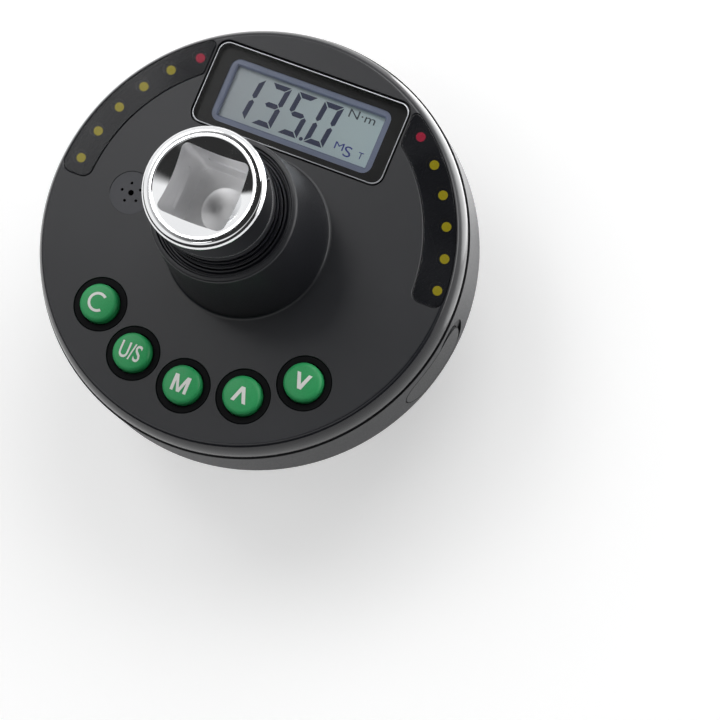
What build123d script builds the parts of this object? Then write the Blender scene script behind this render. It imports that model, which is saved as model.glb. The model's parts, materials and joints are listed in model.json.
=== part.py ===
from build123d import *
import math
import os

# Digital torque adapter: a drive shaft with strain gauges runs through a round
# housing that carries the display, the lamps, the keys and the batteries.
# Millimetres. The axis is Z, the tip of the male square is at z = 0, X runs along
# the display's digits and Y points from the keys to the display.

# Drive shaft
DRIVE_AF = 12.65
DRIVE_LENGTH = 16.0
DRIVE_CORNER_R = 1.2
DRIVE_TIP_R = 5.8
DRIVE_TIP_ANGLE = 30.0
SOCKET_CLEARANCE = 0.05
SOCKET_AF = DRIVE_AF + 2 * SOCKET_CLEARANCE
SOCKET_DEPTH = 16.5
SOCKET_CORNER_R = 1.25
SOCKET_MOUTH_R = 8.95
SOCKET_MOUTH_ANGLE = 48.0
SOCKET_DIMPLE_R = 4.4
SOCKET_DIMPLE_DEPTH = 1.0
SOCKET_GROOVE_DEPTH = 0.45
SOCKET_GROOVE_R = 2.6
SOCKET_GROOVE_BELOW_RIM = 9.0
SOCKET_FLOOR_MIN = 4.0
HEAD_WALL = 2.05
HEAD_R = SOCKET_MOUTH_R + HEAD_WALL
HEAD_HEIGHT = 15.0
HEAD_EDGE_R = 0.95
GAUGE_FLAT = 6.2
GAUGE_FLAT_DEPTH = 0.8
GAUGE_FLAT_LENGTH = 13.0
NECKED_R = GAUGE_FLAT + GAUGE_FLAT_DEPTH
NECKED_LENGTH = 17.0
NECKED_FILLET_R = 1.5
JOURNAL_MARGIN = 0.55
JOURNAL_R = DRIVE_AF / math.sqrt(2) - DRIVE_CORNER_R * (math.sqrt(2) - 1) + JOURNAL_MARGIN
BUSH_WALL = 1.6
BOSS_WALL = 1.2
LOWER_BUSH_R = JOURNAL_R + BUSH_WALL
BOSS_R = LOWER_BUSH_R + BOSS_WALL
FLANGE_R = BOSS_R
FLANGE_THICKNESS = 3.0
FLANGE_FLAT_DEPTH = 1.5

# Detent in the male square
BALL_R = 2.4
BALL_PROUD = 0.8
BALL_ABOVE_TIP = 8.0
BALL_CLEARANCE = 0.05
BALL_TRAVEL = 0.75
BALL_HOLE_DEPTH = 8.0
SPRING_WIRE_R = 0.28
SPRING_SIDE_ROOM = 0.45
SPRING_TURNS = 4

# Seal, bushes and retaining ring
BUSH_HEIGHT = 4.8
SEAL_WALL = 1.5
SEAL_R = HEAD_R + SEAL_WALL
SEAL_SINK = 0.6
SEAL_HEIGHT = 2.8
SEAL_LIP_RISE = 0.75
SEAL_LIP_WIDTH = 0.5
SEAT_CLEARANCE = 0.06
RUNNING_CLEARANCE = 0.05
NECK_BORE_ROOM = 1.0
NECK_BORE_R = HEAD_R + NECK_BORE_ROOM
LOWER_BUSH_FLANGE_STEP = 0.8
LOWER_BUSH_FLANGE = 1.2
RETAINER_STEP = 1.8
RETAINER_THICKNESS = 1.0
RETAINER_GROOVE_DEPTH = 0.6
RETAINER_GAP_WIDTH = 5.4
LUG_HEIGHT = 2.2
LUG_LENGTH = 11.6

# Neck and disc
NECK_HEIGHT = 20.0
NECK_WALL = 0.95
NECK_DRAFT = 2.05
NECK_TOP_R = SEAL_R + NECK_WALL
NECK_BASE_R = NECK_TOP_R + NECK_DRAFT
NECK_EDGE_R = 0.7
NECK_ROOT_R = 0.6
DISC_HEIGHT = 16.3
LID_HEIGHT = 4.2
WALL_R = 41.5
WALL_DRAFT = 0.4
RIM_BEVEL = 1.8
RIM_R = WALL_R - WALL_DRAFT
FACE_R = RIM_R - RIM_BEVEL
FACE_EDGE_R = 0.5
RIM_BULGE = 0.25
WALL_BOTTOM_R = 0.9
WALL = 2.4
LID_THICKNESS = 2.2
FLOOR_THICKNESS = 2.2
GROOVE_WIDTH = 0.3
GROOVE_DEPTH = 0.55
TONGUE_DEPTH = 1.5
TONGUE_THICKNESS = 1.1
SHELL_CLEARANCE = 0.1

# Screws
SCREW_R = 1.1
SCREW_HEAD_STEP = 1.0
SCREW_HEAD_R = SCREW_R + SCREW_HEAD_STEP
SCREW_HEAD = 1.3
SCREW_CLEARANCE = 0.25
THREAD_CLEARANCE = 0.04
SCREW_SINK = 0.5
SCREW_BOSS_WALL = 1.3
SCREW_BOSS_R = SCREW_R + SCREW_BOSS_WALL
COVER_SCREW_LENGTH = 6.5
CASE_SCREW_BITE = 5.5
RECESS_WIDTH = 0.5
RECESS_DEPTH = 0.7

# Batteries, AAA size
BATTERY_D = 10.4
BATTERY_LENGTH = 43.0
BATTERY_NIPPLE_R = 1.9
BATTERY_NIPPLE = 1.2
BATTERY_CLEARANCE = 0.3
BATTERY_TO_BOSS = 1.0
BATTERY_X = BOSS_R + BATTERY_TO_BOSS + BATTERY_D / 2
CONTACT_ROOM = 2.9
BAY_HALF_LENGTH = BATTERY_LENGTH / 2 + BATTERY_NIPPLE + CONTACT_ROOM
BAY_ROOF = 1.5
RIB = 1.0
CONTACT_WIDTH = 7.0
CONTACT_THICKNESS = 0.4
CONTACT_SLOT = 0.3
CELL_SPRING_R = 2.8
CELL_SPRING_TOP_R = 1.6
CELL_SPRING_WIRE_R = 0.3
CELL_SPRING_TURNS = 3

# Block under the disc
BLOCK_HEIGHT = 10.7
BLOCK_WALL = 1.7
BLOCK_END_ROOM = 2.2
BLOCK_CORNER_R = 1.8
BLOCK_WIDTH = 2 * (BATTERY_X + BATTERY_D / 2 + BATTERY_CLEARANCE + BLOCK_WALL)
BLOCK_LENGTH = 2 * (BAY_HALF_LENGTH + RIB + BLOCK_END_ROOM + BLOCK_WALL)
STEP_OUT = 1.9
STEP_BACK = 3.5
STEP_CORNER_R = 1.0
STEP_WIDTH = BLOCK_WIDTH + 2 * STEP_OUT
STEP_LENGTH = BLOCK_LENGTH - 2 * STEP_BACK
LOBE_BACK = 4.4
LOBE_CORNER_R = 1.8
LOBE_ROOM = 0.3
CASE_SCREW_X = BATTERY_X + BATTERY_D / 2 + BATTERY_CLEARANCE + SCREW_BOSS_R + SHELL_CLEARANCE
CASE_SCREW_Y = 9.0
LOBE_WIDTH = 2 * (CASE_SCREW_X + SCREW_BOSS_R + LOBE_ROOM + BLOCK_WALL)
LOBE_LENGTH = STEP_LENGTH - 2 * LOBE_BACK
COVER_SCREW_INSET = 3.6
COVER_SCREW_Y = LOBE_LENGTH / 2 - COVER_SCREW_INSET
BLOCK_INNER_R = 0.4
BLOCK_HOLLOW_R = 0.7
COVER_FLOOR = 1.7
COVER_EDGE_R = 0.9
COVER_SIDE_HEIGHT = 5.3
COVER_MID_HEIGHT = 3.6
COVER_WAVE_INSET = 1.7
COVER_WAVE_RUN = 6.5
COVER_GAP = 0.2
COVER_HOLE_CLEARANCE = 0.35

# Display
LENS_WIDTH = 38.7
LENS_LENGTH = 16.0
LENS_INSET = 5.9
LENS_Y = FACE_R - LENS_INSET - LENS_LENGTH / 2
LENS_CORNER_R = 2.0
LENS_GAP = 0.35
LENS_THICKNESS = 1.5
LENS_SINK = 0.1
LENS_BEVEL = 0.3
LENS_LEDGE = 1.1
VIEW_MARGIN_X = 2.85
VIEW_MARGIN_Y = 1.65
VIEW_OFFSET = 0.25
VIEW_WIDTH = LENS_WIDTH - 2 * VIEW_MARGIN_X
VIEW_LENGTH = LENS_LENGTH - 2 * VIEW_MARGIN_Y
VIEW_Y = LENS_Y - VIEW_OFFSET
VIEW_CORNER_R = 1.8
GLASS_MARGIN = 1.2
GLASS_WIDTH = VIEW_WIDTH - 2 * GLASS_MARGIN
GLASS_LENGTH = VIEW_LENGTH - 2 * GLASS_MARGIN
GLASS_THICKNESS = 1.1
GLASS_SINK = 0.5
GLASS_LAP = 0.7
DISPLAY_CLEARANCE = 0.15
ZEBRA_WIDTH = 1.6

# Lamp windows and lamps
WINDOW_INSET = 0.3
WINDOW_BAND = 5.85
WINDOW_OUT_R = FACE_R - WINDOW_INSET
WINDOW_IN_R = WINDOW_OUT_R - WINDOW_BAND
WINDOW_TO_LENS = 1.0
WINDOW_X = LENS_WIDTH / 2 + WINDOW_TO_LENS
WINDOW_Y = -0.2
WINDOW_CORNER_R = 0.9
WINDOW_END_R = 1.8
WINDOW_THICKNESS = 1.0
WINDOW_SINK = 0.05
WINDOW_GAP = 0.08
LED_INSET = 2.0
LED_PITCH_R = WINDOW_OUT_R - LED_INSET
LED_FIRST_X = 22.83
LED_LAST_Y = 3.22
LED_COUNT = 6
LED_R = 0.9
LED_BASE_STEP = 0.25
LED_BASE_HEIGHT = 0.8
LED_BELOW_WINDOW = 0.15
LIGHT_SLOT_GAP = 0.3

# Keys
KEY_INSET = 9.15
KEY_PITCH_R = FACE_R - KEY_INSET
KEY_SPACING = 11.6
KEY_STEP_ANGLE = math.degrees(KEY_SPACING / KEY_PITCH_R)
KEY_NAMES = ("button_clear", "button_unit", "button_mode", "button_up", "button_down")
KEY_R = 3.65
KEY_PROUD = 2.0
KEY_CROWN = 0.35
KEY_EDGE_R = 0.9
KEY_FLANGE_STEP = 0.85
KEY_FLANGE = 0.8
KEY_STEM_R = 1.3
KEY_TRAVEL = 0.6
KEY_CLEARANCE = 0.2
KEY_RING_STEP = 1.45
KEY_RING_R = KEY_R + KEY_RING_STEP
KEY_RING_SINK = 0.12
KEY_RING_GAP = 0.06
MEMBRANE = 0.6
MEMBRANE_MARGIN = 1.5
SWITCH_SIZE = 5.0
SWITCH_HEIGHT = 0.7
SWITCH_PLUNGER_R = 1.1
SWITCH_PLUNGER = 0.3

# Circuit board
BOARD_ROOM = 3.8
BOARD_THICKNESS = 1.6
BOARD_GAP = 0.5
BOARD_R = RIM_R - WALL - BOARD_GAP
BOARD_HOLE_ROOM = 2.0
BOARD_HOLE_R = NECK_BORE_R + BOARD_HOLE_ROOM
POST_R = 2.1
POST_Y = 12.0
POST_SIDE_ROOM = 0.8
POST_X = VIEW_WIDTH / 2 + LENS_LEDGE + POST_R + POST_SIDE_ROOM
POST_INNER_ROOM = 0.7
POST_PITCH_R = BOARD_HOLE_R + POST_R + POST_INNER_ROOM
POST_LOW_ANGLE = 132.0
BOARD_SCREW_R = 0.8
BOARD_SCREW_HEAD_R = 1.7
BOARD_SCREW_HEAD = 1.1
BOARD_SCREW_DEPTH = 2.6

# Sounder and its grille
BUZZER_INSET = 15.1
BUZZER_X = BUZZER_INSET - FACE_R
BUZZER_R = 5.6
BUZZER_HEIGHT = 2.6
BUZZER_PORT_R = 1.0
GRILLE_R = 4.2
GRILLE_SINK = 0.12
GRILLE_HOLE_R = 0.55
GRILLE_SMALL_R = 0.28
GRILLE_PITCH_R = 1.87
GRILLE_COUNT = 5
GRILLE_FIRST_ANGLE = 54.0

# Data socket and its cover
PORT_ANGLE = -12.5
PORT_LENGTH = 16.6
PORT_HEIGHT = 7.8
PORT_ABOVE_FLOOR = 5.6
PORT_THICKNESS = 1.1
PORT_GAP = 0.2
PORT_PLUG_R = 1.1
PORT_PLUG = 1.2
PORT_HOLE_R = 1.8
PORT_NOSE_WALL = 1.1
PORT_NOSE_R = PORT_HOLE_R + PORT_NOSE_WALL
SOCKET_BODY_LENGTH = 4.4
SOCKET_BODY_WIDTH = 8.0
SOCKET_BODY_GAP = 0.1
NOTCH_OVER = 0.4
NOTCH_SHIFT = 1.1
NOTCH_RISE = 0.7
NOTCH_DEPTH = 1.0

# Strain gauges
GAUGE_LENGTH = 8.0
GAUGE_WIDTH = 5.0
GAUGE_THICKNESS = 0.2
GAUGE_GLUE = 0.05
FLEX_WIDTH = 3.2
FLEX_THICKNESS = 0.2
FLEX_BEND_R = 1.0
FLEX_REACH = 3.0

# Places that follow from the sizes above
Z_BLOCK = DRIVE_LENGTH
Z_FLOOR = Z_BLOCK + BLOCK_HEIGHT
Z_FACE = Z_FLOOR + DISC_HEIGHT
Z_PART = Z_FACE - LID_HEIGHT
Z_NECK = Z_FACE + NECK_HEIGHT
Z_RIM = Z_NECK + HEAD_HEIGHT
Z_LID_UNDER = Z_FACE - LID_THICKNESS
Z_BOARD = Z_LID_UNDER - BOARD_ROOM
Z_BOARD_UNDER = Z_BOARD - BOARD_THICKNESS
Z_CELL = Z_BLOCK + COVER_FLOOR + BATTERY_CLEARANCE + BATTERY_D / 2
Z_BAY = Z_CELL + BATTERY_D / 2 + BATTERY_CLEARANCE
Z_SEAL_TOP = Z_NECK - SEAL_SINK
Z_SEAL = Z_SEAL_TOP - SEAL_HEIGHT
Z_UPPER_BUSH = Z_SEAL - SEAT_CLEARANCE - BUSH_HEIGHT
Z_RETAINER = Z_BLOCK + COVER_FLOOR + COVER_HOLE_CLEARANCE
Z_LOWER_BUSH = Z_RETAINER + RETAINER_THICKNESS + RUNNING_CLEARANCE
Z_BOSS = Z_LOWER_BUSH + LOWER_BUSH_FLANGE
Z_FLANGE = Z_BAY + BAY_ROOF + SEAT_CLEARANCE
Z_NECKED = Z_FLANGE + FLANGE_THICKNESS
Z_SOCKET_FLOOR = Z_RIM - SOCKET_DEPTH
Z_HEAD = Z_SOCKET_FLOOR - SOCKET_FLOOR_MIN - SOCKET_DIMPLE_DEPTH
Z_WINDOW = Z_FACE - WINDOW_SINK - WINDOW_THICKNESS
Z_LENS = Z_FACE - LENS_SINK - LENS_THICKNESS
Z_PORT = Z_FLOOR + PORT_ABOVE_FLOOR

BASE = (Align.CENTER, Align.CENTER, Align.MIN)
TOP = (Align.CENTER, Align.CENTER, Align.MAX)


def disc(radius, low, high, x=0.0, y=0.0):
    """Upright cylinder between two heights."""
    return Pos(x, y, low) * Cylinder(radius, high - low, align=BASE)


def tube(outer, inner, low, high, x=0.0, y=0.0):
    """Upright ring between two heights."""
    return disc(outer, low, high, x, y) - disc(inner, low, high, x, y)


def slab(width, length, low, high, x=0.0, y=0.0):
    """Upright block between two heights, centred on x and y."""
    return Pos(x, y, low) * Box(width, length, high - low, align=BASE)


def prism(sketch, low, high):
    """A flat sketch raised between two heights."""
    return Pos(0, 0, low) * extrude(sketch, high - low)


def turned(*points):
    """Solid turned about Z from a closed outline of (radius, height) points."""
    outline = Polyline(*points, close=True)
    return revolve(Plane.XZ * make_face(outline), Axis.Z)


def rounded_turned(points, radii):
    """Turned solid whose numbered outline corners are rounded."""
    face = make_face(Polyline(*points, close=True))
    for index, radius in radii.items():
        corner = face.vertices().sort_by_distance(Vector(*points[index]))[0]
        face = fillet(corner, radius)
    return revolve(Plane.XZ * face, Axis.Z)


def rounded_plate(width, length, radius, low, high, y=0.0):
    """Plate with rounded upright corners."""
    return prism(Pos(0, y) * RectangleRounded(width, length, radius), low, high)


def polar(radius, angle):
    """Point at a radius, with the angle counted from +Y towards +X."""
    turn = math.radians(angle)
    return radius * math.sin(turn), radius * math.cos(turn)


def joined(parts):
    """One shape of all the parts in a list."""
    total = parts[0]
    for part in parts[1:]:
        total = total + part
    return total


def square_bar(across_flats, corner_r, low, high):
    """Square bar with rounded corners, its faces square to X and Y."""
    return rounded_plate(across_flats, across_flats, corner_r, low, high)


def drive_tang():
    """Male square with a turned chamfer on its tip."""
    square = square_bar(DRIVE_AF, DRIVE_CORNER_R, 0, Z_BLOCK + COVER_FLOOR)
    reach = DRIVE_AF
    slope = math.tan(math.radians(DRIVE_TIP_ANGLE))
    envelope = turned(
        (0, 0),
        (DRIVE_TIP_R, 0),
        (reach, (reach - DRIVE_TIP_R) * slope),
        (reach, Z_BLOCK + COVER_FLOOR),
        (0, Z_BLOCK + COVER_FLOOR),
    )
    hole = Pos(0, DRIVE_AF / 2, BALL_ABOVE_TIP) * Rot(90, 0, 0)
    hole = hole * Cylinder(BALL_R + BALL_CLEARANCE, BALL_HOLE_DEPTH, align=BASE)
    return (square & envelope) - hole


def socket_cut():
    """What the female square takes out of the head."""
    half = SOCKET_AF / 2
    square = square_bar(SOCKET_AF, SOCKET_CORNER_R, Z_SOCKET_FLOOR, Z_RIM)
    cone_depth = SOCKET_MOUTH_R / math.tan(math.radians(SOCKET_MOUTH_ANGLE))
    mouth = Pos(0, 0, Z_RIM - cone_depth)
    mouth = mouth * Cone(0, SOCKET_MOUTH_R, cone_depth, align=BASE)
    ball = (SOCKET_DIMPLE_R**2 + SOCKET_DIMPLE_DEPTH**2) / (2 * SOCKET_DIMPLE_DEPTH)
    dimple = Pos(0, 0, Z_SOCKET_FLOOR - SOCKET_DIMPLE_DEPTH + ball) * Sphere(ball)
    dimple = dimple & disc(SOCKET_DIMPLE_R, Z_SOCKET_FLOOR - SOCKET_DIMPLE_DEPTH, Z_SOCKET_FLOOR)
    cut = square + mouth + dimple
    groove_z = Z_RIM - SOCKET_GROOVE_BELOW_RIM
    for quarter in range(4):
        inset = half + SOCKET_GROOVE_DEPTH - SOCKET_GROOVE_R
        bar = Pos(inset, 0, groove_z) * Rot(90, 0, 0)
        bar = bar * Cylinder(SOCKET_GROOVE_R, SOCKET_AF - 4 * SOCKET_CORNER_R)
        cut = cut + Rot(0, 0, 90 * quarter) * bar
    return cut


def drive_shaft():
    """Head with the female square, gauged section, flange, journal and male square."""
    z_journal = Z_BLOCK + COVER_FLOOR
    necked_top = Z_NECKED + NECKED_LENGTH
    points = [
        (0, z_journal),
        (JOURNAL_R, z_journal),
        (JOURNAL_R, Z_FLANGE),
        (FLANGE_R, Z_FLANGE),
        (FLANGE_R, Z_NECKED),
        (NECKED_R, Z_NECKED),
        (NECKED_R, necked_top),
        (HEAD_R, max(Z_HEAD, necked_top + HEAD_R - NECKED_R)),
        (HEAD_R, Z_RIM),
        (0, Z_RIM),
    ]
    body = rounded_turned(
        points, {5: NECKED_FILLET_R, 6: NECKED_FILLET_R, 8: HEAD_EDGE_R}
    )
    groove_r = JOURNAL_R - RETAINER_GROOVE_DEPTH
    groove_top = Z_RETAINER + RETAINER_THICKNESS + RUNNING_CLEARANCE / 2
    body = body - tube(JOURNAL_R + 1, groove_r, Z_RETAINER - RUNNING_CLEARANCE / 2, groove_top)
    flat_middle = Z_NECKED + NECKED_LENGTH / 2
    for quarter in range(4):
        flat = Pos(GAUGE_FLAT, 0, flat_middle)
        flat = flat * Box(NECKED_R, 2 * NECKED_R, GAUGE_FLAT_LENGTH, align=(Align.MIN, Align.CENTER, Align.CENTER))
        body = body - Rot(0, 0, 90 * quarter) * flat
    for side in (0, 180):
        cheek = Pos(FLANGE_R - FLANGE_FLAT_DEPTH, 0, Z_FLANGE)
        cheek = cheek * Box(FLANGE_R, 2 * FLANGE_R, FLANGE_THICKNESS, align=(Align.MIN, Align.CENTER, Align.MIN))
        body = body - Rot(0, 0, side) * cheek
    return body - socket_cut() + drive_tang()


def coil(radius, top_radius, wire_r, low, high, turns):
    """Helical wire spring standing on Z between two heights."""
    travel = high - low - 2 * wire_r
    cone = math.degrees(math.atan2(top_radius - radius, travel))
    path = Helix(travel / turns, travel, radius, center=(0, 0, low + wire_r), cone_angle=cone)
    start = Plane(origin=path @ 0, z_dir=path % 0)
    return sweep(start * Circle(wire_r), path=path, is_frenet=True)


def detent_ball():
    """Steel ball in the +Y face of the male square."""
    return Pos(0, DRIVE_AF / 2 + BALL_PROUD - BALL_R, BALL_ABOVE_TIP) * Sphere(BALL_R)


def detent_spring():
    """Coil behind the detent ball, clear of it by the ball's travel."""
    seat = DRIVE_AF / 2 - BALL_HOLE_DEPTH
    ball_back = DRIVE_AF / 2 + BALL_PROUD - 2 * BALL_R
    length = ball_back - BALL_TRAVEL - BALL_CLEARANCE - seat - BALL_CLEARANCE
    radius = BALL_R - SPRING_SIDE_ROOM - SPRING_WIRE_R
    spring = coil(radius, radius, SPRING_WIRE_R, 0, length, SPRING_TURNS)
    return Pos(0, seat + BALL_CLEARANCE, BALL_ABOVE_TIP) * Rot(-90, 0, 0) * spring


def lens_outline(grow):
    """Display lens outline, grown by a margin."""
    width, length = LENS_WIDTH + 2 * grow, LENS_LENGTH + 2 * grow
    return Pos(0, LENS_Y) * RectangleRounded(width, length, LENS_CORNER_R + grow)


def view_outline(grow):
    """Opening behind the lens, grown by a margin."""
    width, length = VIEW_WIDTH + 2 * grow, VIEW_LENGTH + 2 * grow
    return Pos(0, VIEW_Y) * RectangleRounded(width, length, VIEW_CORNER_R)


def window_outline(side, grow):
    """Crescent lamp window on the +X or -X side, grown by a margin."""
    band = Circle(WINDOW_OUT_R + grow) - Circle(WINDOW_IN_R - grow)
    keep_x, keep_y = WINDOW_X - grow, WINDOW_Y - grow
    region = Pos(keep_x, keep_y) * Rectangle(WALL_R, WALL_R, align=(Align.MIN, Align.MIN))
    crescent = band & region
    corners = crescent.vertices().sort_by(Axis.Y)
    crescent = fillet(corners[:2], WINDOW_END_R)
    corners = [v for v in crescent.vertices() if abs(v.X - keep_x) < WINDOW_GAP]
    crescent = fillet(corners, WINDOW_CORNER_R)
    return crescent if side > 0 else mirror(crescent, about=Plane.YZ)


def led_places(side):
    """Places of the lamps on one side, the end lamp first."""
    first = math.degrees(math.asin(LED_FIRST_X / LED_PITCH_R))
    last = math.degrees(math.acos(LED_LAST_Y / LED_PITCH_R))
    between = (last - first) / (LED_COUNT - 1)
    return [polar(LED_PITCH_R, side * (first + between * step)) for step in range(LED_COUNT)]


def key_places():
    """Places of the keys, from -X to +X."""
    middle = (len(KEY_NAMES) - 1) / 2
    return [
        polar(KEY_PITCH_R, 180 - KEY_STEP_ANGLE * (step - middle))
        for step in range(len(KEY_NAMES))
    ]


def case_screw_places():
    """Places of the screws that join lid and base."""
    return [(sx * CASE_SCREW_X, sy * CASE_SCREW_Y) for sx in (-1, 1) for sy in (-1, 1)]


def cover_screw_places():
    """Places of the battery cover's screws, in the block's lobes."""
    return [(sx * CASE_SCREW_X, sy * COVER_SCREW_Y) for sx in (-1, 1) for sy in (-1, 1)]


def board_post_places():
    """Places of the lid's posts that carry the board: two by the display, two by the neck."""
    low_x, low_y = polar(POST_PITCH_R, POST_LOW_ANGLE)
    return [(sx * x, y) for sx in (-1, 1) for x, y in ((POST_X, POST_Y), (low_x, low_y))]


def lid_body():
    """Lid and neck, solid above the lid's underside, with the bevelled rim."""
    z_edge = Z_PART + GROOVE_WIDTH / 2
    middle = ((FACE_R + RIM_R) / 2 + RIM_BULGE, (Z_FACE + z_edge) / 2 + RIM_BULGE)
    inner_r = RIM_R - WALL
    line = [
        Polyline(
            (0, Z_LID_UNDER), (0, Z_NECK), (NECK_TOP_R, Z_NECK),
            (NECK_BASE_R, Z_FACE), (FACE_R, Z_FACE),
        ),
        ThreePointArc((FACE_R, Z_FACE), middle, (RIM_R, z_edge)),
        Polyline((RIM_R, z_edge), (inner_r, z_edge), (inner_r, Z_LID_UNDER), (0, Z_LID_UNDER)),
    ]
    face = make_face(line)
    rounds = {
        (NECK_TOP_R, Z_NECK): NECK_EDGE_R,
        (NECK_BASE_R, Z_FACE): NECK_ROOT_R,
        (FACE_R, Z_FACE): FACE_EDGE_R,
    }
    for corner, radius in rounds.items():
        vertex = face.vertices().sort_by_distance(Vector(*corner))[0]
        face = fillet(vertex, radius)
    return revolve(Plane.XZ * face, Axis.Z)


def top_shell():
    """Lid with the neck, pockets, grille, tongue and posts."""
    lid = lid_body()
    z_edge = Z_PART + GROOVE_WIDTH / 2
    tongue_out = RIM_R - WALL + TONGUE_THICKNESS
    tongue_in = RIM_R - WALL
    lid = lid + tube(tongue_out, tongue_in, Z_PART - TONGUE_DEPTH, z_edge)
    bore_low = Z_UPPER_BUSH - SEAT_CLEARANCE
    lid = lid - disc(SEAL_R + SEAT_CLEARANCE, bore_low, Z_NECK)
    lid = lid - disc(NECK_BORE_R, Z_LID_UNDER, bore_low)
    lid = lid - prism(lens_outline(LENS_GAP), Z_LENS, Z_FACE)
    lid = lid - prism(view_outline(LENS_LEDGE), Z_LID_UNDER, Z_LENS)
    for side in (-1, 1):
        lid = lid - prism(window_outline(side, WINDOW_GAP), Z_WINDOW, Z_FACE)
        for place in led_places(side):
            lid = lid - disc(LED_R + LED_BASE_STEP + LIGHT_SLOT_GAP, Z_LID_UNDER, Z_WINDOW, *place)
    for place in key_places():
        lid = lid - disc(KEY_RING_R + KEY_RING_GAP, Z_LID_UNDER, Z_FACE, *place)
    lid = lid - disc(GRILLE_R, Z_FACE - GRILLE_SINK, Z_FACE, BUZZER_X)
    lid = lid - disc(GRILLE_HOLE_R, Z_LID_UNDER, Z_FACE, BUZZER_X)
    for step in range(GRILLE_COUNT):
        x, y = polar(GRILLE_PITCH_R, GRILLE_FIRST_ANGLE + 360 * step / GRILLE_COUNT)
        lid = lid - disc(GRILLE_SMALL_R, Z_LID_UNDER, Z_FACE, BUZZER_X + x, y)
    for x, y in board_post_places():
        post = disc(POST_R, Z_BOARD, Z_LID_UNDER, x, y)
        lid = lid + post - disc(BOARD_SCREW_R + THREAD_CLEARANCE, Z_BOARD, Z_BOARD + BOARD_SCREW_DEPTH, x, y)
    z_post = Z_BAY + BAY_ROOF + SEAT_CLEARANCE
    for x, y in case_screw_places():
        post = disc(SCREW_BOSS_R, z_post, Z_LID_UNDER, x, y)
        lid = lid + post - disc(SCREW_R + THREAD_CLEARANCE, z_post, z_post + CASE_SCREW_BITE, x, y)
    return lid


def neck_seal():
    """Wiper ring in the neck's mouth, with a raised lip round the head."""
    inner = HEAD_R + RUNNING_CLEARANCE
    lip = SEAL_R - SEAL_LIP_WIDTH
    return turned(
        (inner, Z_SEAL),
        (SEAL_R, Z_SEAL),
        (SEAL_R, Z_SEAL_TOP - SEAL_LIP_RISE),
        (lip, Z_SEAL_TOP),
        (lip - SEAL_LIP_WIDTH / 2, Z_SEAL_TOP),
        (inner, Z_SEAL_TOP - SEAL_LIP_RISE),
    )


def upper_bush():
    """Plain bush between the head and the neck."""
    return tube(SEAL_R, HEAD_R + RUNNING_CLEARANCE, Z_UPPER_BUSH, Z_UPPER_BUSH + BUSH_HEIGHT)


def lower_bush():
    """Flanged bush between the journal and the base's boss."""
    inner = JOURNAL_R + RUNNING_CLEARANCE
    flange = tube(LOWER_BUSH_R + LOWER_BUSH_FLANGE_STEP, inner, Z_LOWER_BUSH, Z_BOSS)
    return flange + tube(LOWER_BUSH_R, inner, Z_LOWER_BUSH, Z_FLANGE - SEAT_CLEARANCE)


def retaining_ring():
    """Open ring in the journal's groove, which holds the shaft in the housing."""
    inner = JOURNAL_R - RETAINER_GROOVE_DEPTH + RUNNING_CLEARANCE
    outer = JOURNAL_R + RETAINER_STEP
    top = Z_RETAINER + RETAINER_THICKNESS
    return tube(outer, inner, Z_RETAINER, top) - slab(RETAINER_GAP_WIDTH, outer, Z_RETAINER, top, 0, outer)


def stepped_outline(inset, outer_radii, inner_r):
    """Three crossed rectangles as one outline, with its corners rounded."""
    sizes = ((BLOCK_WIDTH, BLOCK_LENGTH), (STEP_WIDTH, STEP_LENGTH), (LOBE_WIDTH, LOBE_LENGTH))
    halves = [(width / 2 - inset, length / 2 - inset) for width, length in sizes]
    plan = joined([Rectangle(2 * x, 2 * y) for x, y in halves])
    corners = [(x, y, radius) for (x, y), radius in zip(halves, outer_radii)]
    corners += [(halves[i][0], halves[i + 1][1], inner_r) for i in range(len(halves) - 1)]
    for x, y, radius in corners:
        for sx, sy in ((1, 1), (-1, 1), (-1, -1), (1, -1)):
            vertex = plan.vertices().sort_by_distance(Vector(sx * x, sy * y))[0]
            plan = fillet(vertex, radius)
    return plan


def block_outline():
    """Plan of the block: a rounded rectangle with two steps on each long side."""
    return stepped_outline(0, (BLOCK_CORNER_R, STEP_CORNER_R, LOBE_CORNER_R), BLOCK_INNER_R)


def block_hollow():
    """Plan of the space inside the block's walls."""
    return stepped_outline(BLOCK_WALL, (BLOCK_HOLLOW_R,) * 3, BLOCK_HOLLOW_R)


def cover_region(gap):
    """Space under the wavy parting surface of the battery cover, lowered by a gap."""
    side = Z_BLOCK + COVER_SIDE_HEIGHT - gap
    middle = Z_BLOCK + COVER_MID_HEIGHT - gap
    reach, low = LOBE_WIDTH, Z_BLOCK - COVER_FLOOR
    outer = BLOCK_WIDTH / 2 - COVER_WAVE_INSET
    inner = outer - COVER_WAVE_RUN
    line = [
        Polyline((-reach, side), (-reach, low), (reach, low), (reach, side), (outer, side)),
        Spline((outer, side), (inner, middle), tangents=[(-1, 0), (-1, 0)]),
        Line((inner, middle), (-inner, middle)),
        Spline((-inner, middle), (-outer, side), tangents=[(-1, 0), (-1, 0)]),
        Line((-outer, side), (-reach, side)),
    ]
    face = Plane.XZ * make_face(line)
    return extrude(face, BLOCK_LENGTH, both=True)


def base_wall():
    """Outer body of the disc's side and floor, before it is hollowed."""
    z_edge = Z_PART - GROOVE_WIDTH / 2
    points = [(0, Z_FLOOR), (WALL_R, Z_FLOOR), (RIM_R, z_edge), (0, z_edge)]
    return rounded_turned(points, {1: WALL_BOTTOM_R})


def port_plane():
    """Plane on the housing's axis that looks out through the side port."""
    turn = math.radians(PORT_ANGLE)
    outward = (math.cos(turn), math.sin(turn), 0)
    along = (-math.sin(turn), math.cos(turn), 0)
    return Plane(origin=(0, 0, Z_PORT), x_dir=along, z_dir=outward)


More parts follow.
